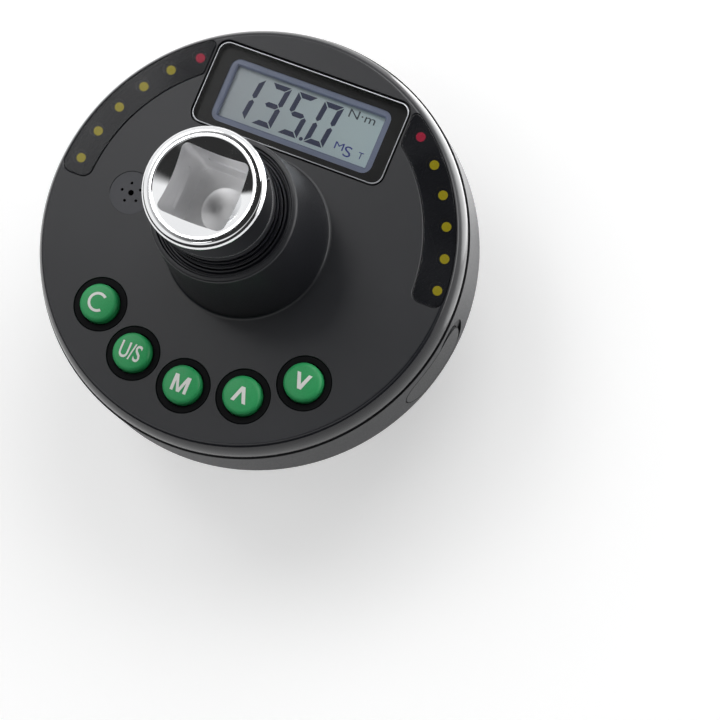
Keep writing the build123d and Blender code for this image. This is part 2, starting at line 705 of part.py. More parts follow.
def port_prism(grow):
    """Pill-shaped bar that runs out from the axis through the side port."""
    pill = SlotOverall(PORT_LENGTH + 2 * grow, PORT_HEIGHT + 2 * grow)
    return extrude(port_plane() * pill, WALL_R + 1)


def port_bar(radius, near, far, along=0.0, rise=0.0):
    """Round bar along the port's direction, between two distances from the axis."""
    plane = port_plane().offset(near)
    return extrude(plane * Pos(along, rise) * Circle(radius), far - near)


def port_floor_r():
    """Radius of the pocket's floor behind the port cover."""
    return RIM_R - PORT_THICKNESS - PORT_GAP


def bottom_shell():
    """Disc wall and floor, battery bay, boss for the shaft and screw bosses."""
    z_edge = Z_PART - GROOVE_WIDTH / 2
    inner_r = RIM_R - WALL
    tongue_r = inner_r + TONGUE_THICKNESS + SHELL_CLEARANCE
    shell = base_wall()
    shell = shell + tube(RIM_R - GROOVE_DEPTH, inner_r, z_edge, Z_PART + GROOVE_WIDTH / 2)
    shell = shell - disc(inner_r, Z_FLOOR + FLOOR_THICKNESS, Z_PART + GROOVE_WIDTH / 2)
    shell = shell - disc(tongue_r, Z_PART - TONGUE_DEPTH - SHELL_CLEARANCE, Z_PART + GROOVE_WIDTH / 2)
    bay_top = Z_BAY + BAY_ROOF
    shell = shell + prism(block_outline(), Z_BLOCK, bay_top) - prism(block_hollow(), Z_BLOCK, Z_BAY)
    for side in (-1, 1):
        rib_x = side * (BATTERY_X - BATTERY_D / 2 - BATTERY_CLEARANCE - RIB / 2)
        shell = shell + slab(RIB, 2 * BAY_HALF_LENGTH, Z_BOSS, Z_BAY, rib_x)
        for end in (-1, 1):
            wall_y = end * (BAY_HALF_LENGTH + RIB / 2)
            end_wall = slab(CONTACT_WIDTH + 2 * RIB, RIB, Z_BOSS, Z_BAY, side * BATTERY_X, wall_y)
            shell = shell + end_wall
    shell = shell + disc(BOSS_R, Z_BOSS, bay_top)
    shell = shell - disc(LOWER_BUSH_R + SEAT_CLEARANCE, Z_BLOCK, bay_top)
    lug_width = FLANGE_FLAT_DEPTH - SEAT_CLEARANCE
    for side in (-1, 1):
        lug_x = side * (FLANGE_R - lug_width / 2)
        shell = shell + slab(lug_width, LUG_LENGTH, bay_top, bay_top + LUG_HEIGHT, lug_x)
    for x, y in cover_screw_places():
        boss = disc(SCREW_BOSS_R, Z_BLOCK, Z_BAY, x, y)
        hole = disc(SCREW_R + THREAD_CLEARANCE, Z_BLOCK, Z_BLOCK + COVER_SCREW_LENGTH + SCREW_SINK + SCREW_HEAD, x, y)
        shell = shell + boss - hole
    for x, y in case_screw_places():
        shell = shell - disc(SCREW_R + SCREW_CLEARANCE, Z_BAY - 1, bay_top, x, y)
    shell = shell - (cover_region(-COVER_GAP) & slab(LOBE_WIDTH + 2, BLOCK_LENGTH + 2, Z_BLOCK, Z_FLOOR))
    pocket = port_prism(PORT_GAP) - disc(port_floor_r(), Z_FLOOR, Z_FACE)
    end = (PORT_LENGTH - PORT_HEIGHT) / 2
    notch = port_bar(PORT_HEIGHT / 2 + NOTCH_OVER, port_floor_r() + PORT_THICKNESS - NOTCH_DEPTH, WALL_R + 1, end + NOTCH_SHIFT, NOTCH_RISE)
    nose = port_bar(PORT_NOSE_R + SEAT_CLEARANCE, inner_r - WALL, WALL_R)
    return shell - pocket - notch - nose


def battery_cover():
    """Lower part of the block, with the shaft's hole and the screw seats."""
    body = prism(block_outline(), Z_BLOCK, Z_FLOOR)
    bottom_edges = body.edges().filter_by_position(Axis.Z, Z_BLOCK - 0.01, Z_BLOCK + 0.01)
    body = fillet(bottom_edges, COVER_EDGE_R)
    body = body - prism(block_hollow(), Z_BLOCK + COVER_FLOOR, Z_FLOOR)
    for x, y in cover_screw_places():
        body = body + disc(SCREW_BOSS_R, Z_BLOCK + COVER_FLOOR / 2, Z_FLOOR, x, y)
    body = body & cover_region(0)
    hole_r = JOURNAL_R + COVER_HOLE_CLEARANCE
    body = body - disc(hole_r, Z_BLOCK, Z_FLOOR)
    for x, y in cover_screw_places():
        body = body - disc(SCREW_R + SCREW_CLEARANCE, Z_BLOCK, Z_FLOOR, x, y)
        seat = Z_BLOCK + SCREW_SINK + SCREW_HEAD
        body = body - disc(SCREW_HEAD_R + SCREW_CLEARANCE, Z_BLOCK, seat, x, y)
    return body


def screw(head_r, head, shank_r, length):
    """Screw with its head below z = 0 and its shank upwards, cross recess underneath."""
    body = disc(head_r, -head, 0) + disc(shank_r, 0, length)
    body = fillet(body.edges().sort_by(Axis.Z)[0], head / 3)
    for turn in (0, 90):
        slot = slab(head_r * 1.1, RECESS_WIDTH, -head, -head + min(RECESS_DEPTH, head / 1.5))
        body = body - Rot(0, 0, turn) * slot
    return body


def cover_screws():
    """Four screws that hold the battery cover."""
    one = screw(SCREW_HEAD_R, SCREW_HEAD, SCREW_R, COVER_SCREW_LENGTH)
    seat = Z_BLOCK + SCREW_SINK + SCREW_HEAD
    return [Pos(x, y, seat) * one for x, y in cover_screw_places()]


def case_screws():
    """Four screws that hold lid and base together, under the battery cover."""
    length = BAY_ROOF + SEAT_CLEARANCE + CASE_SCREW_BITE - SCREW_CLEARANCE
    one = screw(SCREW_HEAD_R, SCREW_HEAD, SCREW_R, length)
    return [Pos(x, y, Z_BAY) * one for x, y in case_screw_places()]


def board_screws():
    """Four small screws that hold the board to the lid's posts."""
    length = BOARD_THICKNESS + BOARD_SCREW_DEPTH - SCREW_CLEARANCE
    one = screw(BOARD_SCREW_HEAD_R, BOARD_SCREW_HEAD, BOARD_SCREW_R, length)
    return [Pos(x, y, Z_BOARD_UNDER) * one for x, y in board_post_places()]


def display_lens():
    """Clear lens with a bevelled edge, in the lid's pocket."""
    plate = prism(lens_outline(0), Z_LENS, Z_FACE - LENS_SINK)
    top_edges = plate.edges().group_by(Axis.Z)[-1]
    return chamfer(top_edges, LENS_BEVEL)


def lcd_frame():
    """Frame that stands on the board and holds the display glass."""
    top = Z_LENS - DISPLAY_CLEARANCE
    frame = prism(view_outline(LENS_LEDGE - DISPLAY_CLEARANCE), Z_BOARD, top)
    z_glass = top - GLASS_SINK - GLASS_THICKNESS
    frame = frame - slab(GLASS_WIDTH, GLASS_LENGTH, z_glass, top, 0, VIEW_Y)
    wide, long = GLASS_WIDTH + 2 * GLASS_LAP, GLASS_LENGTH + 2 * GLASS_LAP
    return frame - slab(wide, long, Z_BOARD, top - GLASS_SINK, 0, VIEW_Y)


def glass_low():
    """Height of the display glass's underside."""
    return Z_LENS - 2 * DISPLAY_CLEARANCE - GLASS_SINK - GLASS_THICKNESS


def lcd_panel():
    """Display glass, held under the frame's lip."""
    wide = GLASS_WIDTH + 2 * GLASS_LAP - 2 * DISPLAY_CLEARANCE
    long = GLASS_LENGTH + 2 * GLASS_LAP - 2 * DISPLAY_CLEARANCE
    return slab(wide, long, glass_low(), glass_low() + GLASS_THICKNESS, 0, VIEW_Y)


def zebra_strips():
    """Two elastic strips that join the glass to the board."""
    across = (GLASS_LENGTH - ZEBRA_WIDTH) / 2
    return [
        slab(GLASS_WIDTH, ZEBRA_WIDTH, Z_BOARD, glass_low(), 0, VIEW_Y + side * across)
        for side in (-1, 1)
    ]


def led_window(side):
    """Smoked crescent window over one row of lamps."""
    return prism(window_outline(side, 0), Z_WINDOW, Z_FACE - WINDOW_SINK)


def led(place):
    """Round lamp that stands on the board under its window."""
    x, y = place
    tip = Z_WINDOW - LED_BELOW_WINDOW
    body = disc(LED_R + LED_BASE_STEP, Z_BOARD, Z_BOARD + LED_BASE_HEIGHT, x, y)
    body = body + disc(LED_R, Z_BOARD, tip - LED_R, x, y)
    return body + Pos(x, y, tip - LED_R) * Sphere(LED_R)


def leds_red():
    """End lamp of each row, next to the display."""
    return [led(led_places(side)[0]) for side in (-1, 1)]


def leds_yellow():
    """The other lamps of both rows."""
    return [led(place) for side in (-1, 1) for place in led_places(side)[1:]]


def key_membrane():
    """Rubber sheet under the lid, with a raised ring round each key."""
    middle = KEY_STEP_ANGLE * (len(KEY_NAMES) - 1) / 2
    z_top = Z_LID_UNDER - KEY_RING_GAP
    z_low = z_top - MEMBRANE
    band = KEY_RING_R + MEMBRANE_MARGIN
    outer, inner = KEY_PITCH_R + band, KEY_PITCH_R - band
    sheet = tube(outer, inner, z_low, z_top)
    reach = math.radians(middle) + band / KEY_PITCH_R
    wedge = Polyline(
        (0, 0),
        (2 * outer * math.sin(reach), -2 * outer * math.cos(reach)),
        (0, -2 * outer),
        (-2 * outer * math.sin(reach), -2 * outer * math.cos(reach)),
        close=True,
    )
    sheet = sheet & prism(make_face(wedge), z_low, z_top)
    rings = [disc(KEY_RING_R, z_low, Z_FACE - KEY_RING_SINK, *place) for place in key_places()]
    sheet = joined([sheet] + rings)
    for place in key_places():
        sheet = sheet - disc(KEY_R + KEY_CLEARANCE, z_low, Z_FACE, *place)
    return sheet


def key_flange_top():
    """Height of the top of a key's flange, under the membrane."""
    return Z_LID_UNDER - KEY_RING_GAP - MEMBRANE - KEY_CLEARANCE


def key(place):
    """Green cap with a crowned top, a flange under the membrane and a stem."""
    flange_top = key_flange_top()
    flange_low = flange_top - KEY_FLANGE
    stem_low = Z_BOARD + SWITCH_HEIGHT + SWITCH_PLUNGER + KEY_TRAVEL + RUNNING_CLEARANCE
    crown = Z_FACE + KEY_PROUD
    shoulder = crown - KEY_CROWN
    outline = [
        Polyline(
            (0, crown), (0, stem_low), (KEY_STEM_R, stem_low), (KEY_STEM_R, flange_low),
            (KEY_R + KEY_FLANGE_STEP, flange_low), (KEY_R + KEY_FLANGE_STEP, flange_top), (KEY_R, flange_top),
            (KEY_R, shoulder),
        ),
        RadiusArc((KEY_R, shoulder), (0, crown), -(KEY_R**2 + KEY_CROWN**2) / (2 * KEY_CROWN)),
    ]
    face = make_face(outline)
    corner = face.vertices().sort_by_distance(Vector(KEY_R, shoulder))[0]
    face = fillet(corner, KEY_EDGE_R)
    return Pos(*place, 0) * revolve(Plane.XZ * face, Axis.Z)


def key_switches():
    """Five flat switches on the board, one under each key."""
    switches = []
    for x, y in key_places():
        body = slab(SWITCH_SIZE, SWITCH_SIZE, Z_BOARD, Z_BOARD + SWITCH_HEIGHT, x, y)
        body = body + disc(SWITCH_PLUNGER_R, Z_BOARD, Z_BOARD + SWITCH_HEIGHT + SWITCH_PLUNGER, x, y)
        switches.append(body)
    return switches


def circuit_board():
    """Round board with holes for the shaft, the posts and the screws."""
    board = tube(BOARD_R, BOARD_HOLE_R, Z_BOARD_UNDER, Z_BOARD)
    for x, y in board_post_places():
        board = board - disc(BOARD_SCREW_R + SCREW_CLEARANCE, Z_BOARD_UNDER, Z_BOARD, x, y)
    for x, y in case_screw_places():
        board = board - disc(SCREW_BOSS_R + SCREW_CLEARANCE, Z_BOARD_UNDER, Z_BOARD, x, y)
    return board


def buzzer():
    """Round sounder on the board, under the grille."""
    body = disc(BUZZER_R, Z_BOARD, Z_BOARD + BUZZER_HEIGHT, BUZZER_X)
    return body - disc(BUZZER_PORT_R, Z_BOARD + BUZZER_HEIGHT / 2, Z_BOARD + BUZZER_HEIGHT, BUZZER_X)


def data_socket():
    """Round data jack under the board, its nose in the side wall."""
    front = math.sqrt((RIM_R - WALL) ** 2 - (SOCKET_BODY_WIDTH / 2) ** 2) - SHELL_CLEARANCE
    back = front - SOCKET_BODY_LENGTH
    low = Z_BAY + BAY_ROOF + SOCKET_BODY_GAP
    high = Z_BOARD_UNDER - SOCKET_BODY_GAP
    section = Pos(0, (high + low) / 2 - Z_PORT) * Rectangle(SOCKET_BODY_WIDTH, high - low)
    body = extrude(port_plane().offset(back) * section, SOCKET_BODY_LENGTH)
    body = body + port_bar(PORT_NOSE_R, back, port_floor_r() - SEAT_CLEARANCE)
    return body - port_bar(PORT_HOLE_R, back + SOCKET_BODY_LENGTH / 4, WALL_R)


def port_cover():
    """Pill-shaped rubber cover, flush in the side wall, with a plug for the jack."""
    cover = (port_prism(0) & base_wall()) - disc(RIM_R - PORT_THICKNESS, Z_FLOOR, Z_FACE)
    return cover + port_bar(PORT_PLUG_R, RIM_R - PORT_THICKNESS - PORT_PLUG, RIM_R - PORT_THICKNESS / 2)


def strain_gauges():
    """Four foil gauges on the flats of the shaft's necked section."""
    middle = Z_NECKED + NECKED_LENGTH / 2
    place = GAUGE_FLAT + GAUGE_GLUE + GAUGE_THICKNESS / 2
    one = Pos(place, 0, middle) * Box(GAUGE_THICKNESS, GAUGE_WIDTH, GAUGE_LENGTH)
    return [Rot(0, 0, 90 * quarter) * one for quarter in range(4)]


def gauge_flex():
    """Flat ribbon from a gauge down to the board."""
    x = GAUGE_FLAT + 2 * GAUGE_GLUE + GAUGE_THICKNESS
    high = Z_NECKED + NECKED_LENGTH / 2
    low = Z_BOARD + GAUGE_GLUE
    reach = BOARD_HOLE_R + FLEX_REACH
    path = FilletPolyline((x, high), (x, low), (reach, low), radius=FLEX_BEND_R)
    strip = offset(path, FLEX_THICKNESS, side=Side.LEFT)
    return extrude(Plane.XZ * make_face(strip), FLEX_WIDTH / 2, both=True)


def battery(side):
    """AAA cell, its nipple towards +Y on the left and -Y on the right."""
    profile_low = -BATTERY_LENGTH / 2
    can = Cylinder(BATTERY_D / 2, BATTERY_LENGTH)
    nipple = Pos(0, 0, BATTERY_LENGTH / 2) * Cylinder(BATTERY_NIPPLE_R, BATTERY_NIPPLE, align=BASE)
    cell = can + nipple
    return Pos(side * BATTERY_X, 0, Z_CELL) * Rot(side * 90, 0, 0) * cell


def contact_plate():
    """Sheet contact against the bay's end wall, facing -Y at the +Y end."""
    y = BAY_HALF_LENGTH - CONTACT_SLOT / 2
    plate = slab(CONTACT_WIDTH, CONTACT_THICKNESS, Z_BOSS, Z_CELL + CONTACT_WIDTH / 2)
    return Pos(0, y - CONTACT_THICKNESS / 2, 0) * plate


def battery_plates():
    """Flat contacts at the nipple ends."""
    reach = BAY_HALF_LENGTH - CONTACT_SLOT / 2 - CONTACT_THICKNESS
    gap = reach - BATTERY_LENGTH / 2 - BATTERY_NIPPLE - CONTACT_SLOT
    button = Pos(0, reach, Z_CELL) * Rot(90, 0, 0) * Cylinder(BATTERY_NIPPLE_R, gap, align=BASE)
    one = contact_plate() + button
    return [
        Pos(side * BATTERY_X, 0, 0) * Rot(0, 0, 0 if side < 0 else 180) * one
        for side in (-1, 1)
    ]


def battery_springs():
    """Conical springs on flat contacts, at the flat ends of the cells."""
    reach = BAY_HALF_LENGTH - CONTACT_SLOT / 2 - CONTACT_THICKNESS
    length = reach - BATTERY_LENGTH / 2 - CONTACT_SLOT / 2
    spring = coil(CELL_SPRING_R, CELL_SPRING_TOP_R, CELL_SPRING_WIRE_R, -CELL_SPRING_WIRE_R, length, CELL_SPRING_TURNS)
    spring = Pos(0, reach, Z_CELL) * Rot(90, 0, 0) * spring
    one = contact_plate() + spring
    return [
        Pos(side * BATTERY_X, 0, 0) * Rot(0, 0, 180 if side < 0 else 0) * one
        for side in (-1, 1)
    ]


def all_nodes():
    """Every piece by its node name."""
    nodes = {
        "drive_shaft": drive_shaft(),
        "detent_ball": detent_ball(),
        "detent_spring": detent_spring(),
        "top_shell": top_shell(),
        "neck_seal": neck_seal(),
        "upper_bush": upper_bush(),
        "lower_bush": lower_bush(),
        "retaining_ring": retaining_ring(),
        "bottom_shell": bottom_shell(),
        "battery_cover": battery_cover(),
        "cover_screws": cover_screws(),
        "case_screws": case_screws(),
        "board_screws": board_screws(),
        "display_lens": display_lens(),
        "lcd_frame": lcd_frame(),
        "lcd_panel": lcd_panel(),
        "zebra_strips": zebra_strips(),
        "led_window_left": led_window(-1),
        "led_window_right": led_window(1),
        "leds_red": leds_red(),
        "leds_yellow": leds_yellow(),
        "key_membrane": key_membrane(),
        "key_switches": key_switches(),
        "circuit_board": circuit_board(),
        "buzzer": buzzer(),
        "data_socket": data_socket(),
        "port_cover": port_cover(),
        "strain_gauges": strain_gauges(),
        "gauge_flex": gauge_flex(),
        "battery_left": battery(-1),
        "battery_right": battery(1),
        "battery_plates": battery_plates(),
        "battery_springs": battery_springs(),
    }
    for name, place in zip(KEY_NAMES, key_places()):
        nodes[name] = key(place)
    return nodes


def main():
    """Write one STEP file for each piece."""
    os.makedirs("parts", exist_ok=True)
    for name, shape in all_nodes().items():
        solids = shape if isinstance(shape, list) else [shape]
        solids = [solid for item in solids for solid in item.solids()]
        piece = solids[0] if len(solids) == 1 else Compound(children=solids)
        piece.label = name
        export_step(piece, os.path.join("parts", name + ".step"))


main()
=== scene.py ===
"""Finished model of a digital torque adapter, dressed round its packed construction.

The object is a chromed drive shaft with a female square at the top and a male
square at the tip. It runs through a round charcoal housing that carries a
display, two rows of lamps, five keys, a grille and a data port. Sizes are in
millimetres. Each piece is modelled in millimetres and brought into the frame's
metres as its last step.

WELD joins points that are meant to be one, OVER is how far a cutter reaches past
the surface that it opens, LEVEL and FLAT tell a level face by its normal, and
NOISE_LOW to NOISE_HIGH is the part of a noise's range that it mostly fills. The
STEPS from TINY to TURN are the chords in a full circle, from those of the
smallest rounds to those of the largest.
"""

import json
import logging
import math
from collections.abc import Callable, Iterator, Sequence
from contextlib import contextmanager
from dataclasses import dataclass, field
from enum import Enum

import bmesh
import bpy
from mathutils import Euler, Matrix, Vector

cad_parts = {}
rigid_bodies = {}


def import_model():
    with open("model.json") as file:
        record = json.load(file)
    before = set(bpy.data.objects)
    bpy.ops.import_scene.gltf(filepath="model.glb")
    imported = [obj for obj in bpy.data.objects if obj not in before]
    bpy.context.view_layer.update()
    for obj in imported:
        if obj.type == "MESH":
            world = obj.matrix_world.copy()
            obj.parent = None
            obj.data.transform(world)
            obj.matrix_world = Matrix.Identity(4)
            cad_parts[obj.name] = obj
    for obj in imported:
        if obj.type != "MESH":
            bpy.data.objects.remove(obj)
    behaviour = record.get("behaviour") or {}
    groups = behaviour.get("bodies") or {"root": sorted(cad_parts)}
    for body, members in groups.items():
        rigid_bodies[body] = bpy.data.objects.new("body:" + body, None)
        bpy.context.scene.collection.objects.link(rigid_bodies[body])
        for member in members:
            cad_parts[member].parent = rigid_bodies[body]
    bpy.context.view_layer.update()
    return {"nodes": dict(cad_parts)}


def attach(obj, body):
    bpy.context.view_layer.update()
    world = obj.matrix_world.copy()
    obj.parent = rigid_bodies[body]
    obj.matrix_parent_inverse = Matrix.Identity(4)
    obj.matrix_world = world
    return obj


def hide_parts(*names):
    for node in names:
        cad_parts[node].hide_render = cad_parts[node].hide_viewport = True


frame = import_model()

MM = 0.001
WELD = 1e-4
OVER = 1.0
TINY_STEPS = 24
SMALL_STEPS = 32
MIDDLE_STEPS = 40
TOOL_STEPS = 48
FINE_STEPS = 64
HOLE_STEPS = 96
TURN_STEPS = 192
ARC_STEPS = 6
SMALL_ARC_STEPS = 4
SHARP_ANGLE = math.radians(32)
LEVEL = 0.9
FLAT = 0.99
NOISE_LOW = 0.3
NOISE_HIGH = 0.7
NOISE_ROUGHNESS = 0.55
HOUSING = "housing"

log = logging.getLogger("torque_adapter")
Piece = bpy.types.Object
Tree = bpy.types.NodeTree
Socket = bpy.types.NodeSocket
Point = tuple[float, float]
Corner = tuple[float, ...]
Box = tuple[float, float, float, float]


class Plane(Enum):
    """Plane that an outline is drawn in."""

    SIDE = "radius along X, height along Z"
    PLAN = "X and Y"


class Carve(Enum):
    """What a tool does to the piece that it meets."""

    AWAY = "DIFFERENCE"
    KEEP = "INTERSECT"
    JOIN = "UNION"


@dataclass(frozen=True)
class Levels:
    """Heights of the main steps of the object above the tip of its male square."""

    block: float = 16.0
    floor: float = 26.7
    parting: float = 38.8
    lid_under: float = 40.8
    face: float = 43.0
    neck: float = 63.0
    rim: float = 78.0


LEVELS = Levels()


def linear(colour: str) -> tuple[float, float, float, float]:
    """Turn an sRGB hex colour to the linear colour that a shader takes.

    Args:
        colour: six hex digits after a hash sign.

    Returns:
        Linear red, green and blue, and full opacity.
    """
    parts = [int(colour[start:start + 2], 16) / 255 for start in (1, 3, 5)]
    curve = [part / 12.92 if part <= 0.04045 else ((part + 0.055) / 1.055) ** 2.4 for part in parts]
    return (*curve, 1.0)


def add(
    tree: Tree,
    kind: str,
    settings: dict[str | int, object] | None = None,
    links: dict[str | int, Socket] | None = None,
) -> bpy.types.Node:
    """Add one shader node with its settings and links.

    Args:
        tree: node tree that takes the node.
        kind: the node's type name.
        settings: value for each socket or property.
        links: output that feeds each socket.

    Returns:
        The new node.
    """
    node = tree.nodes.new(kind)
    for name, value in (settings or {}).items():
        if isinstance(name, int) or name in node.inputs:
            node.inputs[name].default_value = value
        else:
            setattr(node, name, value)
    for name, source in (links or {}).items():
        tree.links.new(source, node.inputs[name])
    return node


@dataclass(frozen=True)
class Finish:
    """A surface finish that makes its material once."""

    name: str

    def material(self) -> bpy.types.Material:
        """Material of this finish, made on its first use.

        Returns:
            The material, under the finish's name.
        """
        found = bpy.data.materials.get(self.name)
        if found:
            return found
        made = bpy.data.materials.new(self.name)
        made.use_nodes = True
        made.node_tree.nodes.clear()
        self.mix(made.node_tree)
        return made

    def mix(self, tree: Tree) -> None:
        """Build the finish in an empty node tree."""
        raise NotImplementedError

    @staticmethod
    def grain(tree: Tree, size: float, stretch: Sequence[float] = (1, 1, 1), detail: float = 3.0) -> Socket:
        """Noise whose grains have a real size.

        Args:
            tree: node tree that takes the noise.
            size: width of a grain, in millimetres.
            stretch: how many times closer the grains lie along each axis.
            detail: octaves of finer grain.

        Returns:
            The noise's value.
        """
        place = add(tree, "ShaderNodeTexCoord").outputs["Object"]
        scaled = add(tree, "ShaderNodeMapping", {"Scale": tuple(stretch)}, {"Vector": place})
        settings = {"Scale": 1 / (size * MM), "Detail": detail, "Roughness": NOISE_ROUGHNESS}
        noise = add(tree, "ShaderNodeTexNoise", settings, {"Vector": scaled.outputs["Vector"]})
        return noise.outputs["Fac"]

    @staticmethod
    def between(tree: Tree, value: Socket, low: float, high: float) -> Socket:
        """Spread a noise value over a range.

        Args:
            tree: the material's node tree.
            value: noise value to spread.
            low: result at the noise's low end.
            high: result at its high end.

        Returns:
            Socket with the spread value.
        """
        settings = {"From Min": NOISE_LOW, "From Max": NOISE_HIGH, "To Min": low, "To Max": high}
        spread = add(tree, "ShaderNodeMapRange", settings, {"Value": value})
        return spread.outputs["Result"]

    @staticmethod
    def tint(tree: Tree, value: Socket, dark: str, light: str) -> Socket:
        """Colour a noise value from one hex colour to another.

        Args:
            tree: the material's node tree.
            value: noise value that picks the colour.
            dark: hex colour at the noise's low end.
            light: hex colour at its high end.

        Returns:
            Socket with the colour.
        """
        ramp = add(tree, "ShaderNodeValToRGB", links={"Fac": value})
        for stop, place, colour in zip(ramp.color_ramp.elements, (NOISE_LOW, NOISE_HIGH), (dark, light)):
            stop.position = place
            stop.color = linear(colour)
        return ramp.outputs["Color"]

    @staticmethod
    def bump(tree: Tree, value: Socket, depth: float) -> Socket:
        """Relief of a real depth in millimetres from a noise value."""
        return add(tree, "ShaderNodeBump", {"Distance": depth * MM}, {"Height": value}).outputs["Normal"]

    @staticmethod
    def close(tree: Tree, settings: dict[str | int, object], links: dict[str | int, Socket]) -> None:
        """End a tree in a principled shader."""
        shader = add(tree, "ShaderNodeBsdfPrincipled", settings, links)
        add(tree, "ShaderNodeOutputMaterial", links={"Surface": shader.outputs["BSDF"]})


@dataclass(frozen=True)
class Grained(Finish):
    """A surface whose grain drives its gloss and relief, and whose slower tone drives its colour.

    The grains are several times coarser than the real ones, which are finer than
    the photograph can hold and would only flicker in it. Their depth is kept low
    to match. A tone size of 0 lets the grain drive the colour as well.
    """

    dark: str = "#1b1c20"
    light: str = "#1f2024"
    smooth: float = 0.3
    rough: float = 0.38
    grain_size: float = 0.35
    grain_depth: float = 0.006
    tone_size: float = 0.0
    detail: float = 3.0
    stretch: tuple[float, float, float] = (1.0, 1.0, 1.0)

    def constants(self) -> dict[str | int, object]:
        """Values that are the same all over the surface."""
        return {}

    def mix(self, tree: Tree) -> None:
        """Build the finish from its grain and its tone.

        Args:
            tree: the material's node tree.
        """
        grain = self.grain(tree, self.grain_size, self.stretch, self.detail)
        tone = self.grain(tree, self.tone_size) if self.tone_size else grain
        links = {
            "Base Color": self.tint(tree, tone, self.dark, self.light),
            "Roughness": self.between(tree, grain, self.smooth, self.rough),
        }
        if self.grain_depth:
            links["Normal"] = self.bump(tree, grain, self.grain_depth)
        self.close(tree, self.constants(), links)


@dataclass(frozen=True)
class MouldedPlastic(Grained):
    """ABS moulded against a spark-eroded tool: satin, with a faint even grain and slow flow marks."""

    tone_size: float = 14.0
    index: float = 1.5

    def constants(self) -> dict[str | int, object]:
        """Values that are the same all over the surface."""
        return {"IOR": self.index}


@dataclass(frozen=True)
class Rubber(Grained):
    """Moulded elastomer: matt, slightly dusty in its grain."""

    dark: str = "#0d0e10"
    light: str = "#141517"
    smooth: float = 0.55
    rough: float = 0.75
    grain_size: float = 0.25
    grain_depth: float = 0.01
    index: float = 1.45
    shine: float = 0.5

    def constants(self) -> dict[str | int, object]:
        """Values that are the same all over the surface."""
        return {"IOR": self.index, "Specular IOR Level": self.shine}


@dataclass(frozen=True)
class Metal(Grained):
    """Metal with a worked surface: grains as the tool left them, under a slow change of tone."""

    smooth: float = 0.2
    rough: float = 0.3
    grain_size: float = 0.4
    grain_depth: float = 0.002
    tone_size: float = 4.8

    def constants(self) -> dict[str | int, object]:
        """Values that are the same all over the surface."""
        return {"Metallic": 1.0}


@dataclass(frozen=True)
class Print(Grained):
    """Screen-printed ink: even, and the mesh of the screen shows as a fine change of tone and gloss."""

    smooth: float = 0.4
    rough: float = 0.55
    grain_size: float = 0.12
    grain_depth: float = 0.0
    index: float = 1.5

    def constants(self) -> dict[str | int, object]:
        """Values that are the same all over the surface."""
        return {"IOR": self.index}


@dataclass(frozen=True)
class SmokedPlastic(Grained):
    """Smoked polycarbonate: a glossy dark window that dims what is under it. Its haze has its real size."""

    dark: str = "#1a1b1f"
    light: str = "#202125"
    smooth: float = 0.1
    rough: float = 0.14
    grain_size: float = 9.0
    grain_depth: float = 0.0
    detail: float = 0.0
    index: float = 1.58
    cover: float = 0.66

    def constants(self) -> dict[str | int, object]:
        """Values that are the same all over the surface."""
        return {"IOR": self.index, "Alpha": self.cover}


@dataclass(frozen=True)
class LampEpoxy(Finish):
    """Tinted diffused epoxy of a lamp: it gathers light and glows a little. Its dark copy without glow paints
    shade on the lamp's body below the dome.
    """

    dark: str
    light: str
    glow: float
    # The real powder is far finer than the picture can hold.
    powder_size: float = 0.2
    gloss: float = 0.25
    index: float = 1.54

    def mix(self, tree: Tree) -> None:
        """Diffuser powder gives a fine mottle, and the body passes light on.

        Args:
            tree: the material's node tree.
        """
        powder = self.grain(tree, self.powder_size)
        settings = {
            "Roughness": self.gloss,
            "IOR": self.index,
            "Emission Color": linear(self.light),
            "Emission Strength": self.glow,
        }
        self.close(tree, settings, {"Base Color": self.tint(tree, powder, self.dark, self.light)})


@dataclass(frozen=True)
class ClearAcrylic(Finish):
    """Cast acrylic: all that the eye sees of it is the mirror image on its surface."""

    index: float = 1.49
    smooth: float = 0.02
    rough: float = 0.05
    haze_size: float = 9.0

    def mix(self, tree: Tree) -> None:
        """A mirror that is only as opaque as the clear surface reflects.

        Args:
            tree: the material's node tree.
        """
        shine = add(tree, "ShaderNodeFresnel", {"IOR": self.index}).outputs["Fac"]
        haze = self.grain(tree, self.haze_size, detail=0.0)
        links = {"Alpha": shine, "Roughness": self.between(tree, haze, self.smooth, self.rough)}
        self.close(tree, {"Base Color": (1, 1, 1, 1), "Metallic": 1.0}, links)


@dataclass(frozen=True)
class DisplayGlass(Finish):
    """Reflective liquid crystal glass: grey green, with painted light that makes it lighter and greener
    towards +X.
    """

    # near and far are the two ends of a painted light gradient along X.
    near: str = "#b8c0c5"
    far: str = "#c8dde0"
    span: float = 34.0
    smooth: float = 0.3
    rough: float = 0.42
    # The reflector's real specks are far finer, and would only flicker in the picture.
    speck_size: float = 0.3
    speck_depth: float = 0.003
    index: float = 1.45

    def mix(self, tree: Tree) -> None:
        """A painted gradient of light along the display, lighter and greener towards +X, and the fine sparkle
        of its reflector.

        Args:
            tree: the material's node tree.
        """
        place = add(tree, "ShaderNodeTexCoord").outputs["Object"]
        along = add(tree, "ShaderNodeSeparateXYZ", links={"Vector": place}).outputs["X"]
        half = self.span / 2 * MM
        settings = {"From Min": -half, "From Max": half, "To Min": NOISE_LOW, "To Max": NOISE_HIGH}
        painted_light_gradient = add(tree, "ShaderNodeMapRange", settings, {"Value": along}).outputs["Result"]
        speck = self.grain(tree, self.speck_size)
        links = {
            # Painted light: the colour runs from near to far, lighter and greener towards +X.
            "Base Color": self.tint(tree, painted_light_gradient, self.near, self.far),
            "Roughness": self.between(tree, speck, self.smooth, self.rough),
            "Normal": self.bump(tree, speck, self.speck_depth),
        }
        self.close(tree, {"IOR": self.index}, links)


